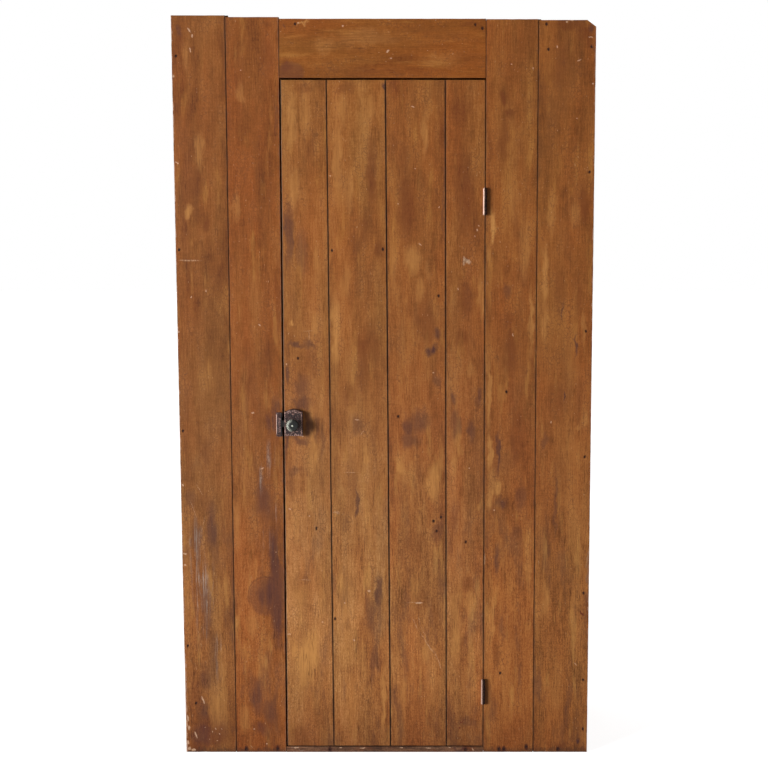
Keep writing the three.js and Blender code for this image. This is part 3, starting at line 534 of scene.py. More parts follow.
grainLook = {  # how strongly each thing shows, and the width of the growth rings in metres
    "wander": 0.008, "rings": 0.006, "gradient": True,
    "large": 0.38, "cloud": 0.50, "brushed": 0.20, "crossed": 0.14, "fine": 0.52, "hair": 0.28,
    "ringed": 0.02, "grit": 0.62, "smudges": 0.5, "glow": 0.4, "pores": 0.65, "flecks": 0.5,
    "crazing": 0.5, "faded": 1.0, "roughness": 0.5, "specular": 0.14, "bump": 0.3,
}
grainLayers = {  # each layer of the grain: its scale across and along the board, detail and roughness
    "large": ((13, 13, 2.4), 2), "cloud": ((34, 34, 10), 5, 0.66), "brushed": ((150, 150, 6), 5, 0.7),
    "crossed": ((24, 24, 190), 4, 0.7), "fine": ((430, 430, 22), 4, 0.7), "hair": ((1000, 1000, 55), 3),
    "grit": ((400, 400, 210), 4, 0.75),
}
woodTones = {
    "smudge": tone(84, 50, 36), "glow": tone(188, 130, 66), "poolRim": tone(70, 38, 34),
    "floorDirt": tone(58, 38, 30), "pore": tone(120, 92, 92), "crack": tone(84, 46, 30),
    "fleck": tone(206, 166, 124), "nick": tone(212, 172, 140), "scratch": tone(206, 168, 132),
    "nailRust": tone(58, 28, 22), "grime": tone(66, 38, 26), "seam": tone(24, 15, 12),
    # the door edge's tone is a painted highlight over some wear
    "rubbedDoor": tone(168, 138, 122), "rubbedSide": tone(192, 156, 134),
}
driftTones = [(0.38, (1.04, 0.93, 0.88, 1)), (0.62, (0.98, 1.03, 1.06, 1))]
fadeTop = 1.9  # paler low down, darker at the very foot and the top, as shares of this height
fadeTones = [
    (0.0, (0.80, 0.83, 0.92, 1)), (0.045, (1.02, 1.12, 1.24, 1)), (0.09, (1.30, 1.52, 1.70, 1)),
    (0.18, (1.36, 1.58, 1.80, 1)), (0.28, (1.20, 1.36, 1.54, 1)), (0.45, (1.03, 1.12, 1.22, 1)),
    (0.56, (0.99, 1.05, 1.02, 1)), (0.7, (0.99, 1.0, 0.89, 1)), (1.0, (0.92, 0.92, 0.76, 1)),
]
nailHalo = {True: (0.0042, 0.0060), False: (0.0072, 0.012)}  # wider at the foot, where more has torn out
# how dark the seam is on each side of a board, and how much its edge is rubbed to pale wood; on the door's
# left edge that pale band is a painted highlight over some wear
sideWear = {
    "faceLeft": (0.0, 0.7), "faceRight": (0.0, 0.45), "latchSide": (0.2, 0.1), "hingeSide": (0.15, 0.05),
    "leftStile": (0.25, 0.04), "rightStile": (0.3, 0.04), "railLeft": (0.0, 0.0), "railRight": (0.0, 0.0),
    "doorFirst": (0.75, 0.05), "doorSecond": (0.95, 0.05), "doorThird": (0.8, 0.05), "doorEdge": (0.0, 0.5),
}
axisTurns = {"X": (0, math.pi / 2, 0), "Y": (math.pi / 2, 0, 0), "Z": (0, 0, 0)}


class Wood(Nodes):  # one board's finish, its colour laid on in layers
    def __init__(self, name, look, marks, along, seed):
        super().__init__(name)
        self.look = {**grainLook, **look}
        self.marks = marks
        self.place = self.add("TexCoord").outputs["Object"]
        shift = (seed * 1.7, seed * 0.9, seed * 2.3)
        turned = {"Vector": self.place, "Location": shift, "Rotation": axisTurns[along]}
        grain = self.add("Mapping", turned).outputs[0]
        self.grain = self.shaken(grain, (5, 5, 1.5), 2.0, (self.look["wander"],) * 3)
        self.layers = {key: self.streaks(self.grain, *plan) for key, plan in grainLayers.items()}
        self.height = self.axes(self.place)["Z"]
        self.layers["ringed"] = self.growthRings(seed)
        self.handled, self.calm = 0.5, 1.0
        if self.look["gradient"]:
            self.handled = self.spread(self.height, 0.95, 0.35, 0.35, 1.0)  # more wear low down
            self.calm = self.line(self.handled, 0.5, 0.5)  # a calmer grain higher up

    def growthRings(self, seed):  # cut at a slant by the board's face
        radius = self.length(self.stretch(self.grain, (1, 1, 0.05), (0.03 * math.sin(seed * 7), 0.045, 0)))
        bent = self.line(self.streaks(self.grain, (14, 14, 2.2)), 0.02, radius)
        wave = self.calc("SINE", self.times(bent, 2 * math.pi / self.look["rings"]))
        return self.line(wave, 0.5, 0.5)

    def lay(self, share, colour, blend="MIX"):
        self.colour = self.mix(share, self.colour, colour, blend)

    def layGrain(self, shades):
        level = 0.5
        for key in ("large", "cloud", "brushed", "crossed", "fine", "hair", "ringed", "grit"):
            force = self.look[key] * 2.2
            if key in ("brushed", "fine", "hair"):
                force = self.times(self.calm, force)
            elif key == "grit":
                force = self.times(self.line(self.handled, 0.6, 0.4), self.look["grit"] * 2.4)
            level = self.plus(level, self.times(self.less(self.layers[key], 0.5), force))
        self.colour = self.ramp(level, list(zip((0.12, 0.5, 0.88), shades)))

    def layDrifts(self):  # slow changes of tone, brown smudges and golden glows
        drift = self.streaks(self.grain, (11, 11, 2), 3, 0.6, (2, 8, 3))
        self.lay(1.0, self.ramp(drift, driftTones), "MULTIPLY")
        smudge = self.streaks(self.grain, (21, 21, 5), 5, 0.68, (4, 2, 6))
        smudge = self.times(self.spread(smudge, 0.50, 0.68, 0, self.look["smudges"]), self.handled)
        self.lay(smudge, woodTones["smudge"])
        glow = self.streaks(self.grain, (30, 30, 5), 5, 0.68, (9, 5, 1))
        self.lay(self.spread(glow, 0.53, 0.72, 0, self.look["glow"]), woodTones["glow"])
        if self.look["gradient"]:
            fades = self.ramp(self.calc("DIVIDE", self.height, fadeTop), fadeTones)
            self.lay(self.look["faded"], fades, "MULTIPLY")

    def layStains(self):  # broken up along the grain
        fine, brushed = self.layers["fine"], self.layers["brushed"]
        soft = self.shaken(self.place, (46, 46, 26), 6.0, (0.036, 0, 0.06))
        for kind, overlay in overlays.items():
            listed = [metres(*mark[:4]) + (mark[4], 0) for mark in self.marks.get(kind, [])]
            if not listed:
                continue
            where = soft
            if kind == "pool":
                where = self.shaken(self.place, (60, 60, 40), 3.0, (0.012, 0, 0.016))
            mask = self.spots(where, listed, overlay["core"])
            # the painted sheen is broken along the grain
            if kind == "hazeAndSheen":
                breaks = self.times(self.spread(fine, 0.42, 0.58, 0.3), self.spread(brushed, 0.46, 0.60))
            else:
                mingled = self.line(fine, 0.4, self.times(brushed, 0.6))
                breaks = self.spread(mingled, 0.40, 0.58, 1 - overlay["broken"], 1.0, "LINEAR")
            share = self.times(self.times(mask, overlay["force"]), breaks, clamp=True)
            self.lay(share, overlay["colour"])

    def layPoolRims(self):  # the sharp upper left rim of a dried pool
        for *place, strength in self.marks.get("arc", []):
            x, z, halfWidth, halfHeight = metres(*place)
            where = self.shaken(self.place, (60, 60, 40), 2.0, (0.008, 0, 0.010))
            outer = self.spots(where, [(x, z, halfWidth, halfHeight, 1.0, 0)], 0.95)
            inner = self.spots(where, [(x, z, halfWidth * 0.93, halfHeight * 0.93, 1.0, 0)], 0.95)
            band = self.less(outer, inner, clamp=True)
            axes = self.axes(where)
            side = self.less(self.less(axes["Z"], z), self.less(axes["X"], x))
            self.lay(self.times(band, self.spread(side, 0.0, 0.04, 0, strength)), woodTones["poolRim"])

    def layFloorDirt(self):
        splash = self.line(self.streaks(self.place, (150, 150, 90), 5, 0.7), 0.05, self.height)
        self.lay(self.spread(splash, 0.042, 0.026, 0, 0.6), woodTones["floorDirt"])

    def layPores(self):  # dark pores where the stain has caught, fine cracks, and flecks where it has gone
        pore = self.streaks(self.grain, (480, 480, 30))
        area = self.spread(self.streaks(self.grain, (24, 24, 6)), 0.42, 0.62)
        self.pores = self.times(self.times(self.spread(pore, 0.56, 0.68), area), self.calm)
        darker = self.mix(1.0, self.colour, woodTones["pore"], "MULTIPLY")
        self.lay(self.times(self.pores, self.look["pores"]), darker)
        cells = self.stretch(self.shaken(self.place, (160,) * 3, 3.0, (0.006,) * 3), (130, 20, 90))
        cells = self.add("TexVoronoi", {"Vector": cells, "Scale": 1.0}, feature="DISTANCE_TO_EDGE")
        cracks = self.spread(cells.outputs["Distance"], 0.10, 0.0)
        cracks = self.times(cracks, self.spread(self.layers["cloud"], 0.50, 0.62))
        self.lay(self.times(cracks, self.look["crazing"]), woodTones["crack"])
        fleck = self.streaks(self.grain, (330, 330, 110), 2)
        self.lay(self.spread(fleck, 0.71, 0.76, 0, self.look["flecks"]), woodTones["fleck"])

    def layNicks(self):  # nicks and scratches down to pale wood, and rust round the nails
        listed = {}
        for kind in ("nicks", "scratches"):
            listed[kind] = [metres(*mark[:4]) + (1.0, mark[4]) for mark in self.marks.get(kind, [])]
        if listed["nicks"]:
            ragged = self.shaken(self.place, (260,) * 3, 3.0, (0.006,) * 3)
            self.lay(self.times(self.spots(ragged, listed["nicks"], 0.6), 0.66), woodTones["nick"])
        if listed["scratches"]:
            bent = self.shaken(self.place, (60,) * 3, 4.0, (0.006,) * 3)
            faint = self.spots(bent, listed["scratches"], 0.4)
            faint = self.times(faint, self.spread(self.layers["grit"], 0.42, 0.58, 0.1, 0.55))
            self.lay(faint, woodTones["scratch"])
        nails = [metres(x, z) + nailHalo[z > 20] + (0.9, 0) for x, z in self.marks.get("nails", [])]
        if nails:
            rusted = self.shaken(self.place, (190, 190, 120), 3.0, (0.004, 0, 0.008))
            self.lay(self.spots(rusted, nails, 0.35), woodTones["nailRust"])

    def layMargins(self, margins):  # grime and rubbing along the two sides of the board, and a painted highlight on the door's lit left edge
        axes = self.axes(self.place)
        atFront = self.spread(axes["Y"], -0.2008, -0.2016)
        for (start, lean, side), sign in zip(margins, (1, -1)):
            dark, rubbed = sideWear[side]
            inward = self.times(self.less(axes["X"], self.line(axes["Z"], lean, start)), sign)
            ragged = self.streaks(self.place, (70, 70, 30), 4)
            ragged = self.line(ragged, -0.012, self.plus(inward, 0.006))
            grime = self.times(self.spread(ragged, 0.004, -0.0015, 0, 0.4), atFront)
            self.lay(grime, woodTones["grime"])
            if dark:
                self.lay(self.spread(inward, 0.0013, 0.0003, 0, dark), woodTones["seam"])
            if rubbed:
                # on the door's left arris the pale band is a painted highlight where the light catches it,
                # over some wear
                door = side == "doorEdge"
                reach = self.rubbedTo(inward, side, 0.002 if door else 0.016)
                bareWoodAndHighlight = self.spread(reach, 0.0016, 0.0004, 0, rubbed)
                self.lay(self.times(bareWoodAndHighlight, atFront), woodTones["rubbedDoor" if door else "rubbedSide"])

    def rubbedTo(self, inward, side, unsteady):  # how far from the edge, less where it is rubbed wider
        patchy = self.streaks(self.place, (110, 110, 50), 6, 0.7)
        reach = self.line(patchy, -unsteady, self.plus(inward, unsteady * 0.47))
        if side == "faceLeft":  # widest at the foot
            reach = self.less(reach, self.spread(self.height, 0.28, 0.12, 0, 0.0022))
        return reach

    def finishBoard(self):
        roughness = self.line(self.layers["cloud"], 0.24, self.look["roughness"] - 0.12)
        relief = self.line(self.layers["fine"], 0.6, self.times(self.pores, -0.5))
        relief = self.line(self.layers["brushed"], 0.5, relief)
        return self.finish(self.colour, roughness, self.look["specular"], relief, self.look["bump"], 0.0005)


def wood(name, shades, look, marks=None, along="Z", seed=0.0, margins=()):
    board = Wood(name, look, marks or {}, along, seed)
    board.layGrain(shades)
    board.layDrifts()
    if marks:
        board.layStains()
        board.layPoolRims()
    if board.look["gradient"]:
        board.layFloorDirt()
    board.layPores()
    if marks:
        board.layNicks()
    if margins:
        board.layMargins(margins)
    return board.finishBoard()


# pitted and rubbed tones of the iron, a painted shade for a side in shadow, and a painted highlight
ironTones = {
    "pitted": tone(110, 100, 106), "rubbedFront": tone(182, 144, 132), "paintedShade": tone(14, 10, 11),
    "edgeHighlight": tone(240, 200, 180),
}


def iron(name, shades, metallic, roughness, wornEdgeAndHighlight=None, proud=None, paintedShadeFrom=None, gloss=0.3):
    dark, rust, rubbed = tones(*shades)
    n = Nodes(name)
    place = n.add("TexCoord").outputs["Object"]
    blotch = n.noise(place, 150, 5, 0.65)
    grit = n.noise(place, 650, 3, 0.6)
    speck = n.noise(n.stretch(place, (1, 1, 1), (3, 5, 7)), 420, 2)
    colour = n.mix(n.spread(blotch, 0.40, 0.62), dark, rust)
    pitted = n.mix(1.0, colour, ironTones["pitted"], "MULTIPLY")
    colour = n.mix(n.spread(grit, 0.5, 0.72, 0, 0.5), colour, pitted)
    colour = n.mix(n.spread(speck, 0.57, 0.68, 0, 0.7), colour, rubbed)
    axes = n.axes(place)
    if proud:  # what stands out furthest is rubbed paler
        standing = n.times(n.spread(axes["Y"], *proud), n.spread(speck, 0.44, 0.58, 0.08, 0.85))
        colour = n.mix(standing, colour, ironTones["rubbedFront"])
    if paintedShadeFrom is not None:  # painted shade: black right of this place
        colour = n.mix(n.spread(axes["X"], paintedShadeFrom, paintedShadeFrom + 0.0008), colour, ironTones["paintedShade"])
    if wornEdgeAndHighlight:  # painted highlight along a worn edge: bright left of a place, between two heights
        left, bottom, top = wornEdgeAndHighlight
        highlight = n.times(n.spread(axes["X"], left, left - 0.0008), n.spread(blotch, 0.32, 0.48, 0.55, 1.0))
        highlight = n.times(highlight, n.spread(axes["Z"], bottom - 0.002, bottom))
        highlight = n.times(highlight, n.spread(axes["Z"], top + 0.002, top))
        highlight = n.times(highlight, n.spread(axes["Z"], 0.1, 1.2, 0.55, 1.0))  # the painted highlight duller near the floor
        colour = n.mix(highlight, colour, ironTones["edgeHighlight"])
    n.shade({"Metallic": metallic})
    roughness = n.line(grit, 0.3, roughness - 0.15)
    return n.finish(colour, roughness, gloss, n.line(grit, 0.6, blotch), 0.5, 0.0004)


knobLook = {
    "flutes": 20, "fluteDepth": 0.9, "fluteFrom": (0.0092, 0.034), "fluteCentre": 0.037,
    "bore": 0.00305, "boreFrom": 0.016, "boreEnd": 0.0316, "foot": 0.008, "footOut": 0.0173,
    "buttonGlint": tone(206, 208, 192),
    # the deep and worn glaze, and the pale tone of the painted highlight on the rim
    "tones": ((10, 12, 11), (34, 37, 32), (190, 194, 178)),
    "rings": [  # the radius and the distance from the face, from the foot out to the middle
        (0.0080, 0.0188), (0.0064, 0.0199), (0.0055, 0.0213), (0.0056, 0.0254), (0.0090, 0.0268),
        (0.0128, 0.0300), (0.0151, 0.0335), (0.0160, 0.0370), (0.0157, 0.0388), (0.0148, 0.0404),
        (0.0132, 0.0417), (0.0112, 0.0426), (0.0088, 0.0432), (0.0062, 0.0435), (0.0047, 0.0434),
        (0.0042, 0.0430), (0.0036, 0.0432), (0.0032, 0.0443), (0.0020, 0.0449), (0.0008, 0.0450),
    ],
}


def glaze(name, roughness, centre):
    deep, worn, rubbed = tones(*knobLook["tones"])
    n = Nodes(name)
    place = n.add("TexCoord").outputs["Object"]
    blotch = n.noise(place, 220, 4, 0.6)
    fleck = n.noise(place, 900, 2)
    colour = n.mix(n.spread(blotch, 0.45, 0.7), deep, worn)
    # a painted highlight: a pale crescent on the rim's ridges, on the left side only, where the light catches
    # it, and a painted glint on the button in the middle
    offset = n.vector("MULTIPLY", n.vector("SUBTRACT", place, centre), (1, 0, 1))
    radius = n.length(offset)
    axes = n.axes(offset)
    turn = n.times(n.calc("ARCTAN2", axes["Z"], axes["X"]), knobLook["flutes"])
    ridgeHighlights = n.spread(n.calc("COSINE", turn), 0.7, -0.2, 0.15, 1.0)
    rim = n.times(n.spread(radius, 0.0070, 0.0130), n.spread(blotch, 0.32, 0.48, 0.45, 0.95))
    # the painted highlight kept to the left side, which faces the light
    rim = n.times(rim, n.times(ridgeHighlights, n.spread(axes["X"], 0.003, -0.010)))
    colour = n.mix(rim, colour, rubbed)
    # a painted glint: the button, the spindle's polished end, painted near white
    colour = n.mix(n.spread(radius, 0.0030, 0.0016, 0, 0.85), colour, knobLook["buttonGlint"])
    return n.finish(colour, n.line(blotch, 0.22, roughness - 0.08), 0.3, fleck, 0.25, 0.0003)


# The face's seams: where each is at the floor, how far it leans up to the top, and its gap
seams = {
    "faceLeft": (-0.517, 0.0, 0.0),
    "leftStile": (-0.387233, 0.0019, 0.0012),
    "latchSide": (-0.256949, 0.0033, 0.0038),
    "doorFirst": (-0.135596, -0.0054, 0.0016),
    "doorSecond": (0.010199, -0.0071, 0.0018),
    "doorThird": (0.154126, -0.0046, 0.0016),
    "hingeSide": (0.248657, 0.0, 0.0016),
    "rightStile": (0.37772, -0.0012, 0.0012),
    "faceRight": (0.517, 0.0, 0.0),
    "railLeft": (-0.258600, 0.0033, 0.0006),
    "railRight": (0.249160, 0.0, 0.0006),
}
joinery = {
    "frontY": -0.203, "backY": -0.181, "faceTop": 1.8543, "arris": 0.0010,
    "tongueHalf": 0.003, "grooveHalf": 0.0033, "tongueReach": 0.0072, "grooveDepth": 0.0063,
    "rowHeight": 0.016, "columnWidth": 0.016, "waviness": 0.0004, "wear": 0.0018, "wornBelow": 0.26,
}
dents = {
    "nickOut": 0.0006, "nickDepths": (0.0011, 0.0016), "nickChips": 0.0012,
    "nailOut": 0.0004, "nailSize": (0.0034, 0.0030, 0.0036),
}


def clouds(name, size, depth=2):
    texture = bpy.data.textures.new(name, "CLOUDS")
    texture.noise_scale = size
    texture.noise_depth = depth
    return texture


wavyTexture = clouds("planedWaves", 0.12)
wornTexture = clouds("wornEdges", 0.02, 3)
chippedTexture = clouds("chipped", 0.003)
dentedTexture = clouds("dentedIron", 0.009)


def displace(piece, texture, strength, middle, **settings):
    applyModifier(piece, "DISPLACE", texture=texture, strength=strength, mid_level=middle, **settings)


def weigh(piece, name, share):
    group = piece.vertex_groups.new(name=name)
    for vertex in piece.data.vertices:
        weight = share(vertex.co)
        if weight > 0:
            group.add([vertex.index], weight, "REPLACE")


def dentCutters(marks):  # soft hollows for the nicks, and deeper ones that hold the nails
    made = []
    dice = random.Random(7)
    front = joinery["frontY"]
    for *nick, tilt in marks.get("nicks", []):
        x, z, halfWidth, halfHeight = metres(*nick)
        size = (halfWidth, dice.uniform(*dents["nickDepths"]), halfHeight)
        cutter = addBall("nickCutter", (x, front - dents["nickOut"], z), size, tilt)
        displace(cutter, chippedTexture, dents["nickChips"], 0.5)
        made.append(cutter)
    for nail in marks.get("nails", []):
        x, z = metres(*nail)
        made.append(addBall("nailCutter", (x, front - dents["nailOut"], z), dents["nailSize"]))
    return made


def bodyOf(node):
    return "door" if node.startswith("door") else "carcass"


def faceBoard(node, sides, tongue=False, groove=False, corner=None, recesses=()):
    low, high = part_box(node)
    j = joinery
    (leftAt, leftLean, leftGap), (rightAt, rightLean, rightGap) = seams[sides[0]], seams[sides[1]]
    leftX, rightX = leftAt + leftGap / 2, rightAt - rightGap / 2
    middleX, middleY = (leftX + rightX) / 2, (j["frontY"] + j["backY"]) / 2
    piece = addBlock("worn_" + node, (leftX, j["frontY"], low.z), (rightX, j["backY"], high.z))
    editing(piece)
    for half, wanted in ((j["tongueHalf"], tongue), (j["grooveHalf"], groove)):
        if wanted:
            for side in (-1, 1):
                cutAcross((0, middleY + side * half, 0), (0, 1, 0))
    if tongue:
        pick(piece, "FACE", lambda c, normal: normal.x > 0.9 and abs(c.y - middleY) < j["tongueHalf"])
        extrude(j["tongueReach"], 0, 0)
    if groove:
        pick(piece, "FACE", lambda c, normal: normal.x < -0.9 and abs(c.y - middleY) < j["grooveHalf"])
        extrude(j["grooveDepth"], 0, 0)
    for level in (low.z, high.z):
        for side, lean in ((-1, leftLean), (1, rightLean)):
            pick(piece, "VERT", lambda co: abs(co.z - level) < near and (co.x - middleX) * side > 0)
            bpy.ops.transform.translate(value=(lean * level / j["faceTop"], 0, 0))
    if corner:
        cutAcross(*corner, clear_outer=True, use_fill=True)
    bevelEdges(piece, lambda a, b: max(a.y, b.y) < j["frontY"] + near, j["arris"])
    rows(piece, 2, j["rowHeight"])
    rows(piece, 0, j["columnWidth"])

    def edgeShare(co):
        lean = co.z / j["faceTop"]
        fromLeft = co.x - (leftX + leftLean * lean)
        fromRight = (rightX + rightLean * lean) - co.x
        inward = min(fromLeft, fromRight, high.z - co.z, co.z - low.z)
        if inward > j["arris"] * 1.1 or co.y > j["frontY"] + j["arris"] * 1.1:
            return 0.0
        return 1.0 if sides[0] == "faceLeft" and co.x < middleX and co.z < j["wornBelow"] else 0.5

    weigh(piece, "arris", edgeShare)
    weigh(piece, "front", lambda co: 1.0 if co.y < j["frontY"] + 2 * near else 0.0)
    displace(piece, wavyTexture, j["waviness"], 0.0, vertex_group="front", direction="Y")
    displace(piece, wornTexture, -j["wear"], 0.25, vertex_group="arris")
    carve(piece, dentCutters(stains[node]) + [addBlock("leafSeat", *corners) for corners in recesses])
    smooth(piece)
    leftWear = "doorEdge" if node == "door_board_1" else sides[0]
    return piece, [(leftX, leftLean / j["faceTop"], leftWear), (rightX, rightLean / j["faceTop"], sides[1])]


# Tones of each face board, dark to light
boardTones = {
    "left_outer_board": tones((97, 53, 25), (130, 77, 36), (153, 97, 51)),
    "left_inner_board": tones((101, 53, 22), (136, 76, 33), (159, 97, 49)),
    "top_rail": tones((106, 57, 21), (137, 79, 31), (160, 100, 45)),
    "door_board_1": tones((112, 64, 31), (147, 90, 45), (173, 114, 64)),
    "door_board_2": tones((112, 63, 31), (148, 91, 45), (174, 115, 64)),
    "door_board_3": tones((106, 58, 27), (145, 86, 42), (170, 110, 58)),
    "door_board_4": tones((103, 55, 26), (142, 83, 40), (169, 108, 58)),
    "right_inner_board": tones((100, 54, 24), (139, 81, 38), (164, 104, 52)),
    "right_outer_board": tones((100, 55, 24), (141, 83, 39), (165, 103, 51)),
    "bottom_board": tones((48, 32, 26), (96, 66, 48), (142, 104, 78)),
}
railLook = {"fine": 0.36, "brushed": 0.10, "cloud": 0.40, "hair": 0.2}  # a smoother board
stileFade = 0.68
cornerCut = ((0.495, 0, 1.8513), (0.016, 0, 0.022))  # a point on the break, and the way it faces
leafSeat = {
    "middle": 0.248057, "half": 0.00255, "over": 0.001, "front": -0.21, "back": -0.1843, "play": 0.0003,
}
frameSeats, doorSeats = [], []
for leaf in ("lower_hinge_frame_leaf", "upper_hinge_frame_leaf"):
    leafLow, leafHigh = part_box(leaf)
    for seats, left, right in ((frameSeats, "over", "half"), (doorSeats, "half", "over")):
        leftX, rightX = leafSeat["middle"] - leafSeat[left], leafSeat["middle"] + leafSeat[right]
        seatLow = (leftX, leafSeat["front"], leafLow.z - leafSeat["play"])
        seats.append((seatLow, (rightX, leafSeat["back"], leafHigh.z + leafSeat["play"])))
faceBoards = {
    "left_outer_board": {"sides": ("faceLeft", "leftStile"), "tongue": True},
    "left_inner_board": {"sides": ("leftStile", "latchSide"), "groove": True},
    "right_inner_board": {"sides": ("hingeSide", "rightStile"), "tongue": True, "recesses": frameSeats},
    "right_outer_board": {"sides": ("rightStile", "faceRight"), "groove": True, "corner": cornerCut},
    "top_rail": {"sides": ("railLeft", "railRight")},
    "door_board_1": {"sides": ("latchSide", "doorFirst"), "tongue": True},
    "door_board_2": {"sides": ("doorFirst", "doorSecond"), "tongue": True, "groove": True},
    "door_board_3": {"sides": ("doorSecond", "doorThird"), "tongue": True, "groove": True},
    "door_board_4": {"sides": ("doorThird", "hingeSide"), "groove": True, "recesses": doorSeats},
}
for index, (node, plan) in enumerate(faceBoards.items()):
    piece, margins = faceBoard(node, **plan)
    body = bodyOf(node)
    along = "X" if node == "top_rail" else "Z"
    look = {"faded": 1.0 if body == "door" else stileFade}
    if node == "top_rail":
        look.update(railLook)
    finish = wood("stain_" + node, boardTones[node], look, stains[node], along, index + 1.0, margins)
    dress(piece, body, [node], finish)
    print("board made:", node, len(piece.data.polygons), "faces")

# The bottom board, whose front runs out under the door as a scuffed sill
sill = {
    "low": (-0.4947, -0.1807, 0), "high": (0.4947, 0.1907, 0.015), "ends": (-0.25855, 0.249157),
    "reach": 0.0223, "column": 0.01, "wear": 0.0012, "wornTo": 0.0017,
    "look": {"gradient": False, "smudges": 0.8, "glow": 0.2, "grit": 0.6, "pores": 0.6, "roughness": 0.6},
}


def onSillFront(a, b):
    return max(a.y, b.y) < joinery["frontY"] + near and abs(a.z - b.z) < near


bottom = addBlock("worn_bottom_board", sill["low"], sill["high"])
editing(bottom)
for end in sill["ends"]:
    cutAcross((end, 0, 0), (1, 0, 0))
pick(bottom, "FACE", lambda c, normal: normal.y < -0.9 and sill["ends"][0] < c.x < sill["ends"][1])
extrude(0, -sill["reach"], 0)
bevelEdges(bottom, onSillFront, joinery["arris"])
rows(bottom, 0, sill["column"])
weigh(bottom, "arris", lambda co: 1.0 if co.y < joinery["frontY"] + sill["wornTo"] and near < co.z else 0.0)
displace(bottom, wornTexture, -sill["wear"], 0.2, vertex_group="arris")
carve(bottom, dentCutters(stains["bottom_board"]))
smooth(bottom)
sillFinish = wood("scuffed_sill", boardTones["bottom_board"], sill["look"], stains["bottom_board"], "X", 17)
dress(bottom, "carcass", ["bottom_board"], sillFinish)

# The top board, whose right end is split off behind the broken corner, in a slope that runs out at the rear
splitFacing = (0.006144, -0.000352, 0.008448)
topBoard = addBlock("worn_top_board", *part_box("top_board"))
editing(topBoard)
cutAcross(cornerCut[0], splitFacing, clear_outer=True, use_fill=True)
bevelEdges(topBoard, lambda a, b: True, 0.001)
smooth(topBoard)
topFinish = wood("stain_top", boardTones["left_inner_board"], {"gradient": False}, along="X", seed=37)
dress(topBoard, "carcass", ["top_board"], topFinish)

# CAD nodes that keep their shape: inside woods and hidden iron
bareTones = tones((120, 84, 54), (164, 122, 82), (196, 156, 112))
bareLook = {"gradient": False, "pores": 0.3, "roughness": 0.6, "large": 0.25}
backWoods = [wood(f"bare_pine_{index + 1}", bareTones, bareLook, seed=21 + 5 * index) for index in range(3)]
shelfWood = wood("bare_pine_shelves", bareTones, bareLook, along="X", seed=25)
cleatWood = wood("bare_pine_cleats", bareTones, bareLook, along="Y", seed=29)
sideWood = wood("stain_sides", boardTones["left_outer_board"], {}, seed=33)
castIron = iron("cast_iron_brown", ((42, 30, 30), (84, 54, 48), (172, 138, 126)), 0.25, 0.5)
caseIron = iron("case_iron", ((30, 20, 22), (58, 36, 34), (120, 92, 86)), 0.05, 0.5, proud=(-0.2176, -0.2181))
boltIron = iron("bolt_iron", ((12, 9, 9), (26, 17, 15), (60, 46, 42)), 0.3, 0.5)
# the keeper: a painted highlight down its lit left bevel, and painted shade on the right of its box
keeperIron = iron(
    "keeper_iron", ((38, 26, 27), (74, 48, 44), (160, 126, 118)), 0.05, 0.5,
    wornEdgeAndHighlight=(-0.2718, 0.8345, 0.8815), proud=(-0.2155, -0.2162), paintedShadeFrom=-0.2613)
wornIron = iron("worn_iron", ((42, 34, 32), (84, 60, 52), (150, 124, 112)), 0.5, 0.42)
nailIron = iron("nail_iron", ((26, 17, 15), (60, 32, 24), (80, 52, 42)), 0.0, 0.8)
# the hinges: a painted highlight down the lit left side of each barrel
hingeIron = iron(
    "hinge_iron", ((34, 23, 20), (66, 44, 38), (110, 84, 76)), 0.0, 0.55,
    wornEdgeAndHighlight=(0.2464, 0.1, 1.5), gloss=0.08)
knobGlaze = glaze("knob_glaze", 0.3, (-0.229319, 0, 0.86))
softBoards = ("side_panel", "back_board", "shelf", "ledge", "cleat")
softening = {"merge": 0.00002, "width": 0.0009}
carriedFinishes = {  # the first of these words that is in a node's name gives its finish
    "side_panel": sideWood, "shelf": shelfWood, "ledge": shelfWood, "cleat": cleatWood,
    "latch_bolt": boltIron, "hinge": wornIron, "latch_follower": wornIron, "latch_spindle": wornIron,
    "latch_spring": wornIron, "knob": knobGlaze, "latch": castIron, "screw": castIron,
}
for node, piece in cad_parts.items():
    finishes = [finish for word, finish in carriedFinishes.items() if word in node]
    if "back_board" in node:
        finishes = [backWoods[int(node[-1]) % 3]]
    if finishes:
        piece.data.materials.clear()
        piece.data.materials.append(finishes[0])
    if any(word in node for word in softBoards):
        weld = piece.modifiers.new("weld", "WELD")
        weld.merge_threshold = softening["merge"]
        soft = piece.modifiers.new("soft_edges", "BEVEL")
        soft.width = softening["width"]
        soft.segments = 2
        soft.limit_method = "ANGLE"
print("carried nodes finished")

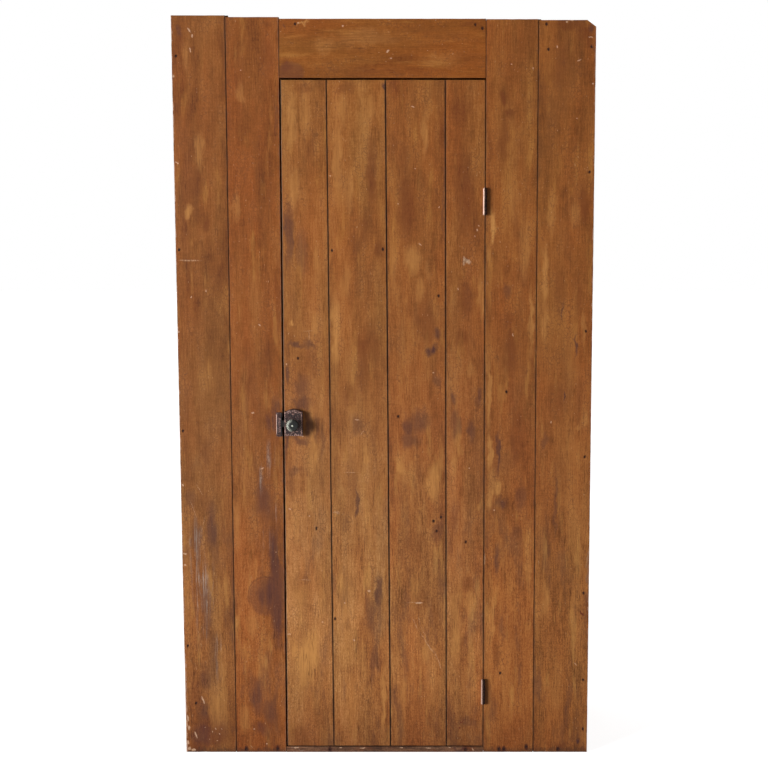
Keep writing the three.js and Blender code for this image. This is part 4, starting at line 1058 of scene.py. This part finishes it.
# The rim latch, measured across and up from its spindle and out from the face
spindleAt = Vector((-0.229319, -0.2033, 0.86))
case = {
    "half": 0.0225, "top": 0.0305, "rise": 0.006, "shoulder": 0.004, "depth": 0.015, "wall": 0.0025,
    "rim": 0.0026, "sunk": 0.0009, "edge": 0.0013, "step": 0.0005, "columns": 14, "screws": (0.028, -0.0245),
    "collar": (0.009, 0.0125, 0.017), "collarEdge": 0.0007, "boss": (0.0052, 0.0126, 0.015),
    "bore": (0.0056, -0.001, 0.019), "rib": ((-0.02125, -0.0133, 0.0045), (0.02125, -0.0103, 0.01375)),
    "slot": ((-0.0245, -0.0083, 0.0032), (-0.0197, 0.0083, 0.0108)),
}
ornament = {  # beads by their half width, half height and height off the field
    "stringRadius": 0.0178, "stringBead": (0.0009, 0.0009, 0.0009), "stringBeads": 13,
    "stringFrom": 30, "stringStep": 10, "stringBreak": 0.3, "sideBeads": 7, "headRise": 0.8,
    "columns": (0.0072, 0.0126, 0.0176), "head": 0.0256, "headBead": (0.0019, 0.0024, 0.0012),
    "foot": -0.0262, "footBead": (0.0019, 0.0021, 0.0012),
    "side": 0.0187, "sideFrom": -0.0196, "sideStep": 0.0061, "sideBead": (0.0011, 0.0018, 0.0011),
    "fillet": (0.0112, 0.0052), "filletHeights": (-0.0196, -0.0187), "filletOut": (-0.001, 0.0006),
}
countersink = {"wide": 0.0041, "narrow": 0.0023, "depth": 0.0019}
facing = math.pi / 2  # turns a piece's own Z out of the face


def onFace(across, up, out):
    return spindleAt + Vector((across, -out, up))


def faceBlock(name, low, high):
    a, b = onFace(*low), onFace(*high)
    return addBlock(name, [min(pair) for pair in zip(a, b)], [max(pair) for pair in zip(a, b)])


def faceRound(name, radius, across, up, start, end, facets=24):
    return addRound(name, radius, onFace(across, up, start), onFace(across, up, end), facets)


def faceBead(across, up, out, size, finer=2):
    return addBall("bead", onFace(across, up, out), (size[0], size[2], size[1]), finer=finer)


def facePit(across, up, out):  # a countersink with its hole
    narrow, wide, depth = countersink["narrow"], countersink["wide"], countersink["depth"]
    middle = onFace(across, up, out - depth / 2 + near)
    pit = addCone("pit", narrow, wide, depth + 2 * near, middle, (facing, 0, 0))
    return [pit, faceRound("pitHole", narrow, across, up, out - 0.02, out - depth + near)]


def archRise(across, inset=0.0):
    chord = case["half"] - inset - case["shoulder"]
    radius = (chord ** 2 + case["rise"] ** 2) / (2 * case["rise"])
    if abs(across) >= chord:
        return 0.0
    return math.sqrt(max(0.0, radius ** 2 - across ** 2)) - (radius - case["rise"])


def archBlock(name, inset, start, end):  # straight sides under an arched top
    half, top = case["half"] - inset, case["top"] - inset
    piece = faceBlock(name, (-half, -top, start), (half, top, end))
    editing(piece)
    chord = half - case["shoulder"]
    columns = [chord * (2 * step / case["columns"] - 1) for step in range(case["columns"] + 1)]
    for across in columns:
        cutAcross(onFace(across, 0, 0), (1, 0, 0))
    for across in columns[1:-1]:
        column, level = spindleAt.x + across, spindleAt.z + top
        pick(piece, "VERT", lambda co: abs(co.x - column) < near / 2 and co.z > level - near / 2)
        bpy.ops.transform.translate(value=(0, 0, archRise(across, inset)))
    clearSelection()
    return piece


def onCaseEdge(co):
    across, up = co.x - spindleAt.x, co.z - spindleAt.z
    if abs(co.y - onFace(0, 0, case["depth"]).y) >= near:
        return False
    distances = (abs(across) - case["half"], up + case["top"], up - case["top"] - archRise(across))
    return min(abs(distance) for distance in distances) < near


latchCase = archBlock("worn_latch_case", 0, 0, case["depth"])
bevelEdges(latchCase, lambda a, b: onCaseEdge(a) and onCaseEdge(b), case["edge"], 3)
editing(latchCase)
pick(latchCase, "FACE", lambda c, normal: normal.y < -0.99)
bpy.ops.mesh.inset(thickness=case["rim"] - case["edge"], depth=0)
bpy.ops.mesh.inset(thickness=case["step"], depth=-case["sunk"])
carve(latchCase, [archBlock("cavity", case["wall"], -0.001, case["depth"] - case["wall"])])

# collar, a rib inside, screw bosses, and the ornament cast on the sunk field
collarRadius, *collarOut = case["collar"]
collar = faceRound("collar", collarRadius, 0, 0, *collarOut, 40)
collarFront = onFace(0, 0, collarOut[1]).y + near
bevelEdges(collar, lambda a, b: max(a.y, b.y) < collarFront, case["collarEdge"])
castOn = [collar, faceBlock("rib", *case["rib"])]
castOn += [faceRound("boss", case["boss"][0], 0, up, *case["boss"][1:], 28) for up in case["screws"]]
field = case["depth"] - case["sunk"]
for step in range(ornament["stringBeads"]):  # small beads over the knob, with none at the very top
    angle = math.radians(ornament["stringFrom"] + ornament["stringStep"] * step)
    if abs(angle - math.pi / 2) > ornament["stringBreak"]:
        across, up = ornament["stringRadius"] * math.cos(angle), ornament["stringRadius"] * math.sin(angle)
        castOn.append(faceBead(across, up, field, ornament["stringBead"], 1))
for side in (-1, 1):
    for across in ornament["columns"]:  # large beads along the head and the foot, and down both sides
        head = ornament["head"] + archRise(across) * ornament["headRise"]
        castOn.append(faceBead(side * across, head, field, ornament["headBead"]))
        castOn.append(faceBead(side * across, ornament["foot"], field, ornament["footBead"]))
    for step in range(ornament["sideBeads"]):
        up = ornament["sideFrom"] + ornament["sideStep"] * step
        castOn.append(faceBead(side * ornament["side"], up, field, ornament["sideBead"]))
    middle, half = side * ornament["fillet"][0], ornament["fillet"][1]
    heights, depths = ornament["filletHeights"], [field + out for out in ornament["filletOut"]]
    filletLow = (middle - half, heights[0], depths[0])
    castOn.append(faceBlock("fillet", filletLow, (middle + half, heights[1], depths[1])))
carve(latchCase, castOn, "UNION")
cutOut = [faceBlock("slot", *case["slot"]), faceRound("bore", case["bore"][0], 0, 0, *case["bore"][1:], 32)]
for up in case["screws"]:
    cutOut += facePit(0, up, case["depth"])
carve(latchCase, cutOut)
smooth(latchCase, 20)
dress(latchCase, "door", ["latch_case"], caseIron)

# The knob: rings grown outward from its foot
radius, out = knobLook["rings"][0]
knobPiece = faceRound("worn_knob", knobLook["foot"], 0, 0, knobLook["footOut"], out, knobLook["flutes"] * 4)
editing(knobPiece)
for nextRadius, nextOut in knobLook["rings"][1:]:
    ringY = onFace(0, 0, out).y
    pick(knobPiece, "FACE", lambda c, normal: normal.y < -0.99 and abs(c.y - ringY) < near / 5)
    extrude(0, out - nextOut, 0)
    widen(nextRadius / radius, onFace(0, 0, nextOut), 1)
    radius, out = nextRadius, nextOut


def inFlute(co):
    across, up = co.x - spindleAt.x, co.z - spindleAt.z
    step = round(math.atan2(up, across) / (2 * math.pi) * knobLook["flutes"] * 4)
    beyond = (math.hypot(across, up), spindleAt.y - co.y)
    return step % 4 == 0 and all(reach > start for reach, start in zip(beyond, knobLook["fluteFrom"]))


pick(knobPiece, "VERT", inFlute)
widen(knobLook["fluteDepth"], onFace(0, 0, knobLook["fluteCentre"]), 1)
clearSelection()
half = knobLook["bore"]
boreLow, boreHigh = (-half, -half, knobLook["boreFrom"]), (half, half, knobLook["boreEnd"])
carve(knobPiece, [faceBlock("squareBore", boreLow, boreHigh)])
smooth(knobPiece, 38)
dress(knobPiece, "knob", ["knob"], knobGlaze)

# The keeper: a plate with a worn bevel on its left, and a box whose front has a hooked ridge
keeper = {
    "left": -0.27332, "right": -0.25802, "low": 0.827, "high": 0.887, "plate": 0.004, "depth": 0.0122,
    "boxLeft": -0.26722, "boxBack": 0.001, "boxLow": 0.8372, "boxHigh": 0.8768,
    "wornEdgeAndHighlight": 0.0028, "edge": 0.0006, "boxEdge": 0.0011,
    "wornFront": 0.0039, "plateFront": 0.0035, "ridgeFront": 0.0129, "pitTo": 0.006,
    "ridge": ((-0.2634, -0.013, 0.8415), (-0.2616, -0.0118, 0.8725)), "ridgeEdge": 0.0005,
    "hook": (0.0021, -0.2632, 0.0118, 0.0129, 20), "hookHeights": (0.8410, 0.8730),
    "curl": (0.0013, -0.2657, 0.0112, 0.0127, 16), "curlHeights": (0.8395, 0.8745),
    "end": (0.0056, -0.26567, 0.001, 0.0046, 28), "endHeights": (0.8315, 0.8825),
    "mouth": ((-0.26502, -0.0108, 0.8514), (-0.2570, -0.0029, 0.8686)),
    "screwX": -0.26567, "screwHeights": (0.8325, 0.8815),
}
keeperY = spindleAt.y


def keeperBlock(name, low, high):  # measured out from the face, and in the frame's own X and Z
    (lowX, lowY, lowZ), (highX, highY, highZ) = low, high
    return addBlock(name, (lowX, keeperY + lowY, lowZ), (highX, keeperY + highY, highZ))


def keeperRounds(kind):
    radius, x, start, end, facets = keeper[kind]
    made = []
    for z in keeper[kind + "Heights"]:
        made.append(addRound(kind, radius, (x, keeperY - start, z), (x, keeperY - end, z), facets))
    return made


def ahead(a, b, out):  # both ends of an edge stand out further than this from the face
    return max(a.y, b.y) < keeperY - out


plateLow = (keeper["left"], -keeper["plate"], keeper["low"])
plate = keeperBlock("worn_latch_keeper", plateLow, (keeper["right"], 0, keeper["high"]))
leftEdge = keeper["left"] + near
wornFront, plateFront = keeper["wornFront"], keeper["plateFront"]
bevelEdges(plate, lambda a, b: max(a.x, b.x) < leftEdge and ahead(a, b, wornFront), keeper["wornEdgeAndHighlight"], 3)
bevelEdges(plate, lambda a, b: ahead(a, b, plateFront) and abs(a.z - b.z) < near, keeper["edge"])
boxLow = (keeper["boxLeft"], -keeper["depth"], keeper["boxLow"])
box = keeperBlock("keeperBox", boxLow, (keeper["right"], -keeper["boxBack"], keeper["boxHigh"]))
bevelEdges(box, lambda a, b: ahead(a, b, keeper["depth"] - near), keeper["boxEdge"], 3)
ridge = keeperBlock("ridge", *keeper["ridge"])
bevelEdges(ridge, lambda a, b: ahead(a, b, keeper["ridgeFront"]), keeper["ridgeEdge"])
carve(plate, [box, ridge, *keeperRounds("hook"), *keeperRounds("curl"), *keeperRounds("end")], "UNION")
cutOut = [keeperBlock("mouth", *keeper["mouth"])]
for z in keeper["screwHeights"]:
    across, up = keeper["screwX"] - spindleAt.x, z - spindleAt.z
    cutOut += facePit(across, up, keeper["plate"])
    mouthEnds = keeper["plate"], keeper["pitTo"]
    cutOut.append(faceRound("pitMouth", countersink["wide"], across, up, *mouthEnds))
carve(plate, cutOut)
smooth(plate, 22)
dress(plate, "carcass", ["latch_keeper"], keeperIron)
print("latch made:", *(len(piece.data.polygons) for piece in (latchCase, knobPiece, plate)), "faces")

# The return spring, a wire wound along the bolt's travel
springLook = {
    "wire": 0.00045, "radius": 0.0024, "coils": 9, "start": -0.01525, "end": 0.01925,
    "up": 0.019496, "out": 0.007,
}
springStart = onFace(springLook["start"], springLook["up"], springLook["out"])
clearSelection()
bpy.ops.mesh.primitive_circle_add(
    vertices=8, radius=springLook["wire"], location=springStart + Vector((0, 0, springLook["radius"])),
    rotation=(facing, 0, 0))
spring = settle(bpy.context.object, "worn_latch_spring")
bpy.context.scene.cursor.location = springStart
bpy.ops.object.origin_set(type="ORIGIN_CURSOR")
applyModifier(
    spring, "SCREW", axis="X", angle=2 * math.pi, iterations=springLook["coils"], steps=20, render_steps=20,
    screw_offset=(springLook["end"] - springLook["start"]) / springLook["coils"], use_merge_vertices=False)
editing(spring)
bpy.ops.mesh.select_mode(type="EDGE")
bpy.ops.mesh.select_all(action="DESELECT")
bpy.ops.mesh.select_non_manifold()
bpy.ops.mesh.fill_holes(sides=0)
bpy.ops.mesh.select_all(action="SELECT")
bpy.ops.mesh.normals_make_consistent(inside=False)
settle(spring, "worn_latch_spring")
smooth(spring, 60)
dress(spring, "door", ["latch_spring"], wornIron)
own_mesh(spring)

# Wood screws: one with a slotted head, copied to its twelve places
screwLook = {
    "shank": 0.002, "head": 0.0038, "headDepth": 0.0018, "brim": 0.0003, "dome": 0.93, "length": 0.016,
    "point": 0.005, "sharp": 0.06, "slotHalf": 0.00045, "slotDepth": 0.0009,
    "drawnFrom": -0.006, "caseLength": 0.029, "keeperLength": 0.017,
}
shankEnds = (0, 0, screwLook["point"] - screwLook["length"]), (0, 0, -screwLook["headDepth"])
screw = addRound("wood_screw", screwLook["shank"], *shankEnds, 20)
editing(screw)
pickFaces(screw, 2, 1)
extrude(0, 0, screwLook["headDepth"] - screwLook["brim"])
widen(screwLook["head"] / screwLook["shank"], (0, 0, 0))
extrude(0, 0, screwLook["brim"])
widen(screwLook["dome"], (0, 0, 0))
pickFaces(screw, 2, -1)
extrude(0, 0, -screwLook["point"])
widen(screwLook["sharp"], (0, 0, 0))
clearSelection()
slotLow = (-screwLook["head"] * 1.2, -screwLook["slotHalf"], -screwLook["slotDepth"])
carve(screw, [addBlock("screwSlot", slotLow, (-slotLow[0], -slotLow[1], 0.001))])
smooth(screw, 30)


def setScrew(node, place, turn, length, body):  # a copy turned into place, drawn out to its length
    twin = copyOf(screw, "worn_" + node, (0, 0, 0))
    extra = length - screwLook["length"]
    if extra > 0:
        editing(twin)
        pick(twin, "VERT", lambda co: co.z < screwLook["drawnFrom"])
        bpy.ops.transform.translate(value=(0, 0, -extra))
        clearSelection()
    twin.rotation_euler = turn
    twin.location = place
    settle(twin, "worn_" + node)
    dress(twin, body, [node], castIron)


caseLength, keeperLength = screwLook["caseLength"], screwLook["keeperLength"]
caseUpper, caseLower = (onFace(0, up, case["depth"]) for up in case["screws"])
keeperLower, keeperUpper = ((keeper["screwX"], keeperY - keeper["plate"], z) for z in keeper["screwHeights"])
setScrew("case_screw_upper", caseUpper, (facing, 0.4, 0), caseLength, "door")
setScrew("case_screw_lower", caseLower, (facing, -0.7, 0), caseLength, "door")
setScrew("keeper_screw_upper", keeperUpper, (facing, 1.1, 0), keeperLength, "carcass")
setScrew("keeper_screw_lower", keeperLower, (facing, 0.2, 0), keeperLength, "carcass")

# Butt hinges: the lower one is modelled and copied to the upper place
hinge = {
    "x": 0.248057, "y": -0.2086, "lower": 0.163, "upper": 1.413, "half": 0.03175, "middle": 0.01525,
    "knuckleGap": 0.0005, "radius": 0.005, "bore": 0.0025, "pin": 0.0022, "spread": 0.00025, "thick": 0.002,
    "reach": 0.024, "corner": 0.0025, "neck": 0.0036, "edge": 0.0005, "row": 0.002, "dents": 0.00025,
    "screwIn": 0.016, "screwUp": 0.02075, "screwLength": 0.016,
    "tip": ((0.0009, 1.03), (0.0007, 0.82), (0.0006, 0.5)), "tipFoot": 1.5, "tipOut": 0.0003,
}
hingeAt = Vector((hinge["x"], hinge["y"], hinge["lower"]))


def hingePlace(across, back, up):
    return hingeAt + Vector((across, back, up))


def hingeLeaf(node, side, knuckles):
    h = hinge
    inner, outer = sorted((side * h["spread"], side * (h["spread"] + h["thick"])))

    def leafBlock(name, front, low, high):
        return addBlock(name, hingePlace(inner, front, low), hingePlace(outer, h["reach"], high))

    leaf = leafBlock("worn_" + node, h["radius"] + h["knuckleGap"], -h["half"], h["half"])
    backY = h["y"] + h["reach"] - near
    bevelEdges(leaf, lambda a, b: min(a.y, b.y) > backY and abs(a.x - b.x) > 0.001, h["corner"], 3)
    parts = []
    for low, high in knuckles:
        parts.append(leafBlock("neck", h["neck"], low, high))
        barrel = addRound("barrel", h["radius"], hingePlace(0, 0, low), hingePlace(0, 0, high), 32)
        bevelEdges(barrel, lambda a, b: abs(a.z - b.z) < near, h["edge"])
        rows(barrel, 2, h["row"])
        displace(barrel, dentedTexture, h["dents"], 1.0)
        parts.append(barrel)
    carve(leaf, parts, "UNION")
    holes = [addRound("bore", h["bore"], hingePlace(0, 0, -0.04), hingePlace(0, 0, 0.04))]
    narrow, wide, depth = countersink["narrow"], countersink["wide"], countersink["depth"]
    for up in (-h["screwUp"], h["screwUp"]):
        middle = hingePlace(side * (h["spread"] + depth / 2), h["screwIn"], up)
        holes.append(addCone("leafPit", wide, narrow, depth + 2 * near, middle, (0, side * facing, 0)))
        start = hingePlace(side * (h["spread"] + depth - 2 * near), h["screwIn"], up)
        holes.append(addRound("leafHole", narrow, start, start + Vector((side * 0.003, 0, 0))))
    carve(leaf, holes)
    smooth(leaf, 30)
    return leaf


def addPin():
    end = hinge["half"] + hinge["tipOut"]
    pin = addRound("worn_lower_hinge_pin", hinge["pin"], hingePlace(0, 0, -end), hingePlace(0, 0, end))
    editing(pin)
    for side in (-1, 1):
        pickFaces(pin, 2, side)
        extrude(0, 0, 0)
        widen(hinge["tipFoot"], hingeAt)
        for rise, share in hinge["tip"]:
            extrude(0, 0, side * rise)
            widen(share, hingeAt)
    clearSelection()
    smooth(pin, 40)
    return pin


inner, outer = hinge["middle"], hinge["half"]
frameKnuckles = [(-outer, -inner - hinge["knuckleGap"]), (inner + hinge["knuckleGap"], outer)]
hingePieces = (
    ("hinge_frame_leaf", "carcass", hingeLeaf("lower_hinge_frame_leaf", 1, frameKnuckles)),
    ("hinge_door_leaf", "door", hingeLeaf("lower_hinge_door_leaf", -1, [(-inner, inner)])),
    ("hinge_pin", "carcass", addPin()),
)
for node, body, piece in hingePieces:
    twin = copyOf(piece, "worn_upper_" + node, (0, 0, hinge["upper"] - hinge["lower"]))
    dress(piece, body, ["lower_" + node], hingeIron)
    dress(twin, body, ["upper_" + node], hingeIron)
for place in ("lower", "upper"):
    for end, up in (("lower", -hinge["screwUp"]), ("upper", hinge["screwUp"])):
        for leaf, body, side, turned in (("frame", "carcass", 1, 9), ("door", "door", -1, 7)):
            at = (hinge["x"] + side * hinge["spread"], hinge["y"] + hinge["screwIn"], hinge[place] + up)
            turn = (0, -side * facing, up * turned)
            setScrew(f"{place}_hinge_{leaf}_screw_{end}", at, turn, hinge["screwLength"], body)
bpy.data.objects.remove(screw)
print("hinges and screws made")

# Nail heads, one modelled and copied into the hollows cut for them
nailLook = {"radius": 0.0018, "front": 0.0008, "back": 0.004, "edge": 0.0004}
nailFront, nailBack = joinery["frontY"] + nailLook["front"], joinery["frontY"] + nailLook["back"]
nail = addRound("nail", nailLook["radius"], (0, nailFront, 0), (0, nailBack, 0), 14)
bevelEdges(nail, lambda a, b: max(a.y, b.y) < nailFront + near, nailLook["edge"])
smooth(nail, 40)
nailHeads = {"carcass": [], "door": []}
for node, marks in stains.items():
    for x, z in marks.get("nails", []):
        nailHeads[bodyOf(node)].append(copyOf(nail, "nailCopy", (x / 1000, 0, z / 1000)))
bpy.data.objects.remove(nail)
for body, heads in nailHeads.items():
    dress(settle(combine(heads), "nails_" + body), body, [], nailIron)
print("nails set")

# Studio
studio = {
    "camera": (0.1239, -4.1565, 1.4990), "pitch": 7.614, "lens": 74.767, "shift": (-0.0659, -0.0059),
    "key": (-7.7, -6.5, 1.9), "aim": (0, -0.2, 0.95), "keyPower": 1135, "keySize": 3.0,
    "fill": (0.07, 0.55), "floor": 0.8, "floorGlow": (0.86, 1.0), "glowFrom": (1.4, 4.0),
}
white = (1, 1, 1, 1)


def backdropRays(nodes):  # 1 for what the camera, gloss and glass see, 0 for the light on the object
    rays = nodes.add("LightPath").outputs
    glints = nodes.calc("MAXIMUM", rays["Is Glossy Ray"], rays["Is Transmission Ray"])
    return nodes.calc("MAXIMUM", rays["Is Camera Ray"], glints)


bpy.ops.mesh.primitive_plane_add(size=30, location=(0, 0, -2 * near))
floor = bpy.context.object
floor.name = "studio_floor"
floorNodes = Nodes("pale_floor")
away = floorNodes.length(floorNodes.add("TexCoord").outputs["Object"])
glow = floorNodes.spread(away, *studio["glowFrom"], *studio["floorGlow"])
floorNodes.shade({
    "Base Color": (studio["floor"],) * 3 + (1,), "Roughness": 0.8, "Specular IOR Level": 0.0,
    "Emission Color": white, "Emission Strength": floorNodes.times(backdropRays(floorNodes), glow),
})
floor.data.materials.append(floorNodes.material)

clearSelection()
bpy.ops.object.light_add(type="AREA", location=studio["key"])
key = bpy.context.object
key.data.energy = studio["keyPower"]
key.data.size = studio["keySize"]
key.rotation_euler = (Vector(studio["aim"]) - key.location).to_track_quat("-Z", "Y").to_euler()

world = bpy.data.worlds.new("studio")
bpy.context.scene.world = world
world.use_nodes = True
air = Nodes(None, world.node_tree)
backdrop = world.node_tree.nodes["Background"]
backdrop.inputs["Color"].default_value = white
heading = air.axes(air.add("TexCoord").outputs["Generated"])["Y"]
fill = air.spread(heading, -0.1, 0.8, *studio["fill"])  # more of it from behind the cupboard
air.feed(backdrop.inputs["Strength"], air.calc("MAXIMUM", backdropRays(air), fill))

bpy.ops.object.camera_add(location=studio["camera"], rotation=(math.radians(90 - studio["pitch"]), 0, 0))
camera = bpy.context.object
camera.data.lens = studio["lens"]
camera.data.sensor_width = 36
camera.data.shift_x, camera.data.shift_y = studio["shift"]
bpy.context.scene.camera = camera
bpy.context.scene.view_settings.view_transform = "Standard"
print("studio set")

clearSelection()
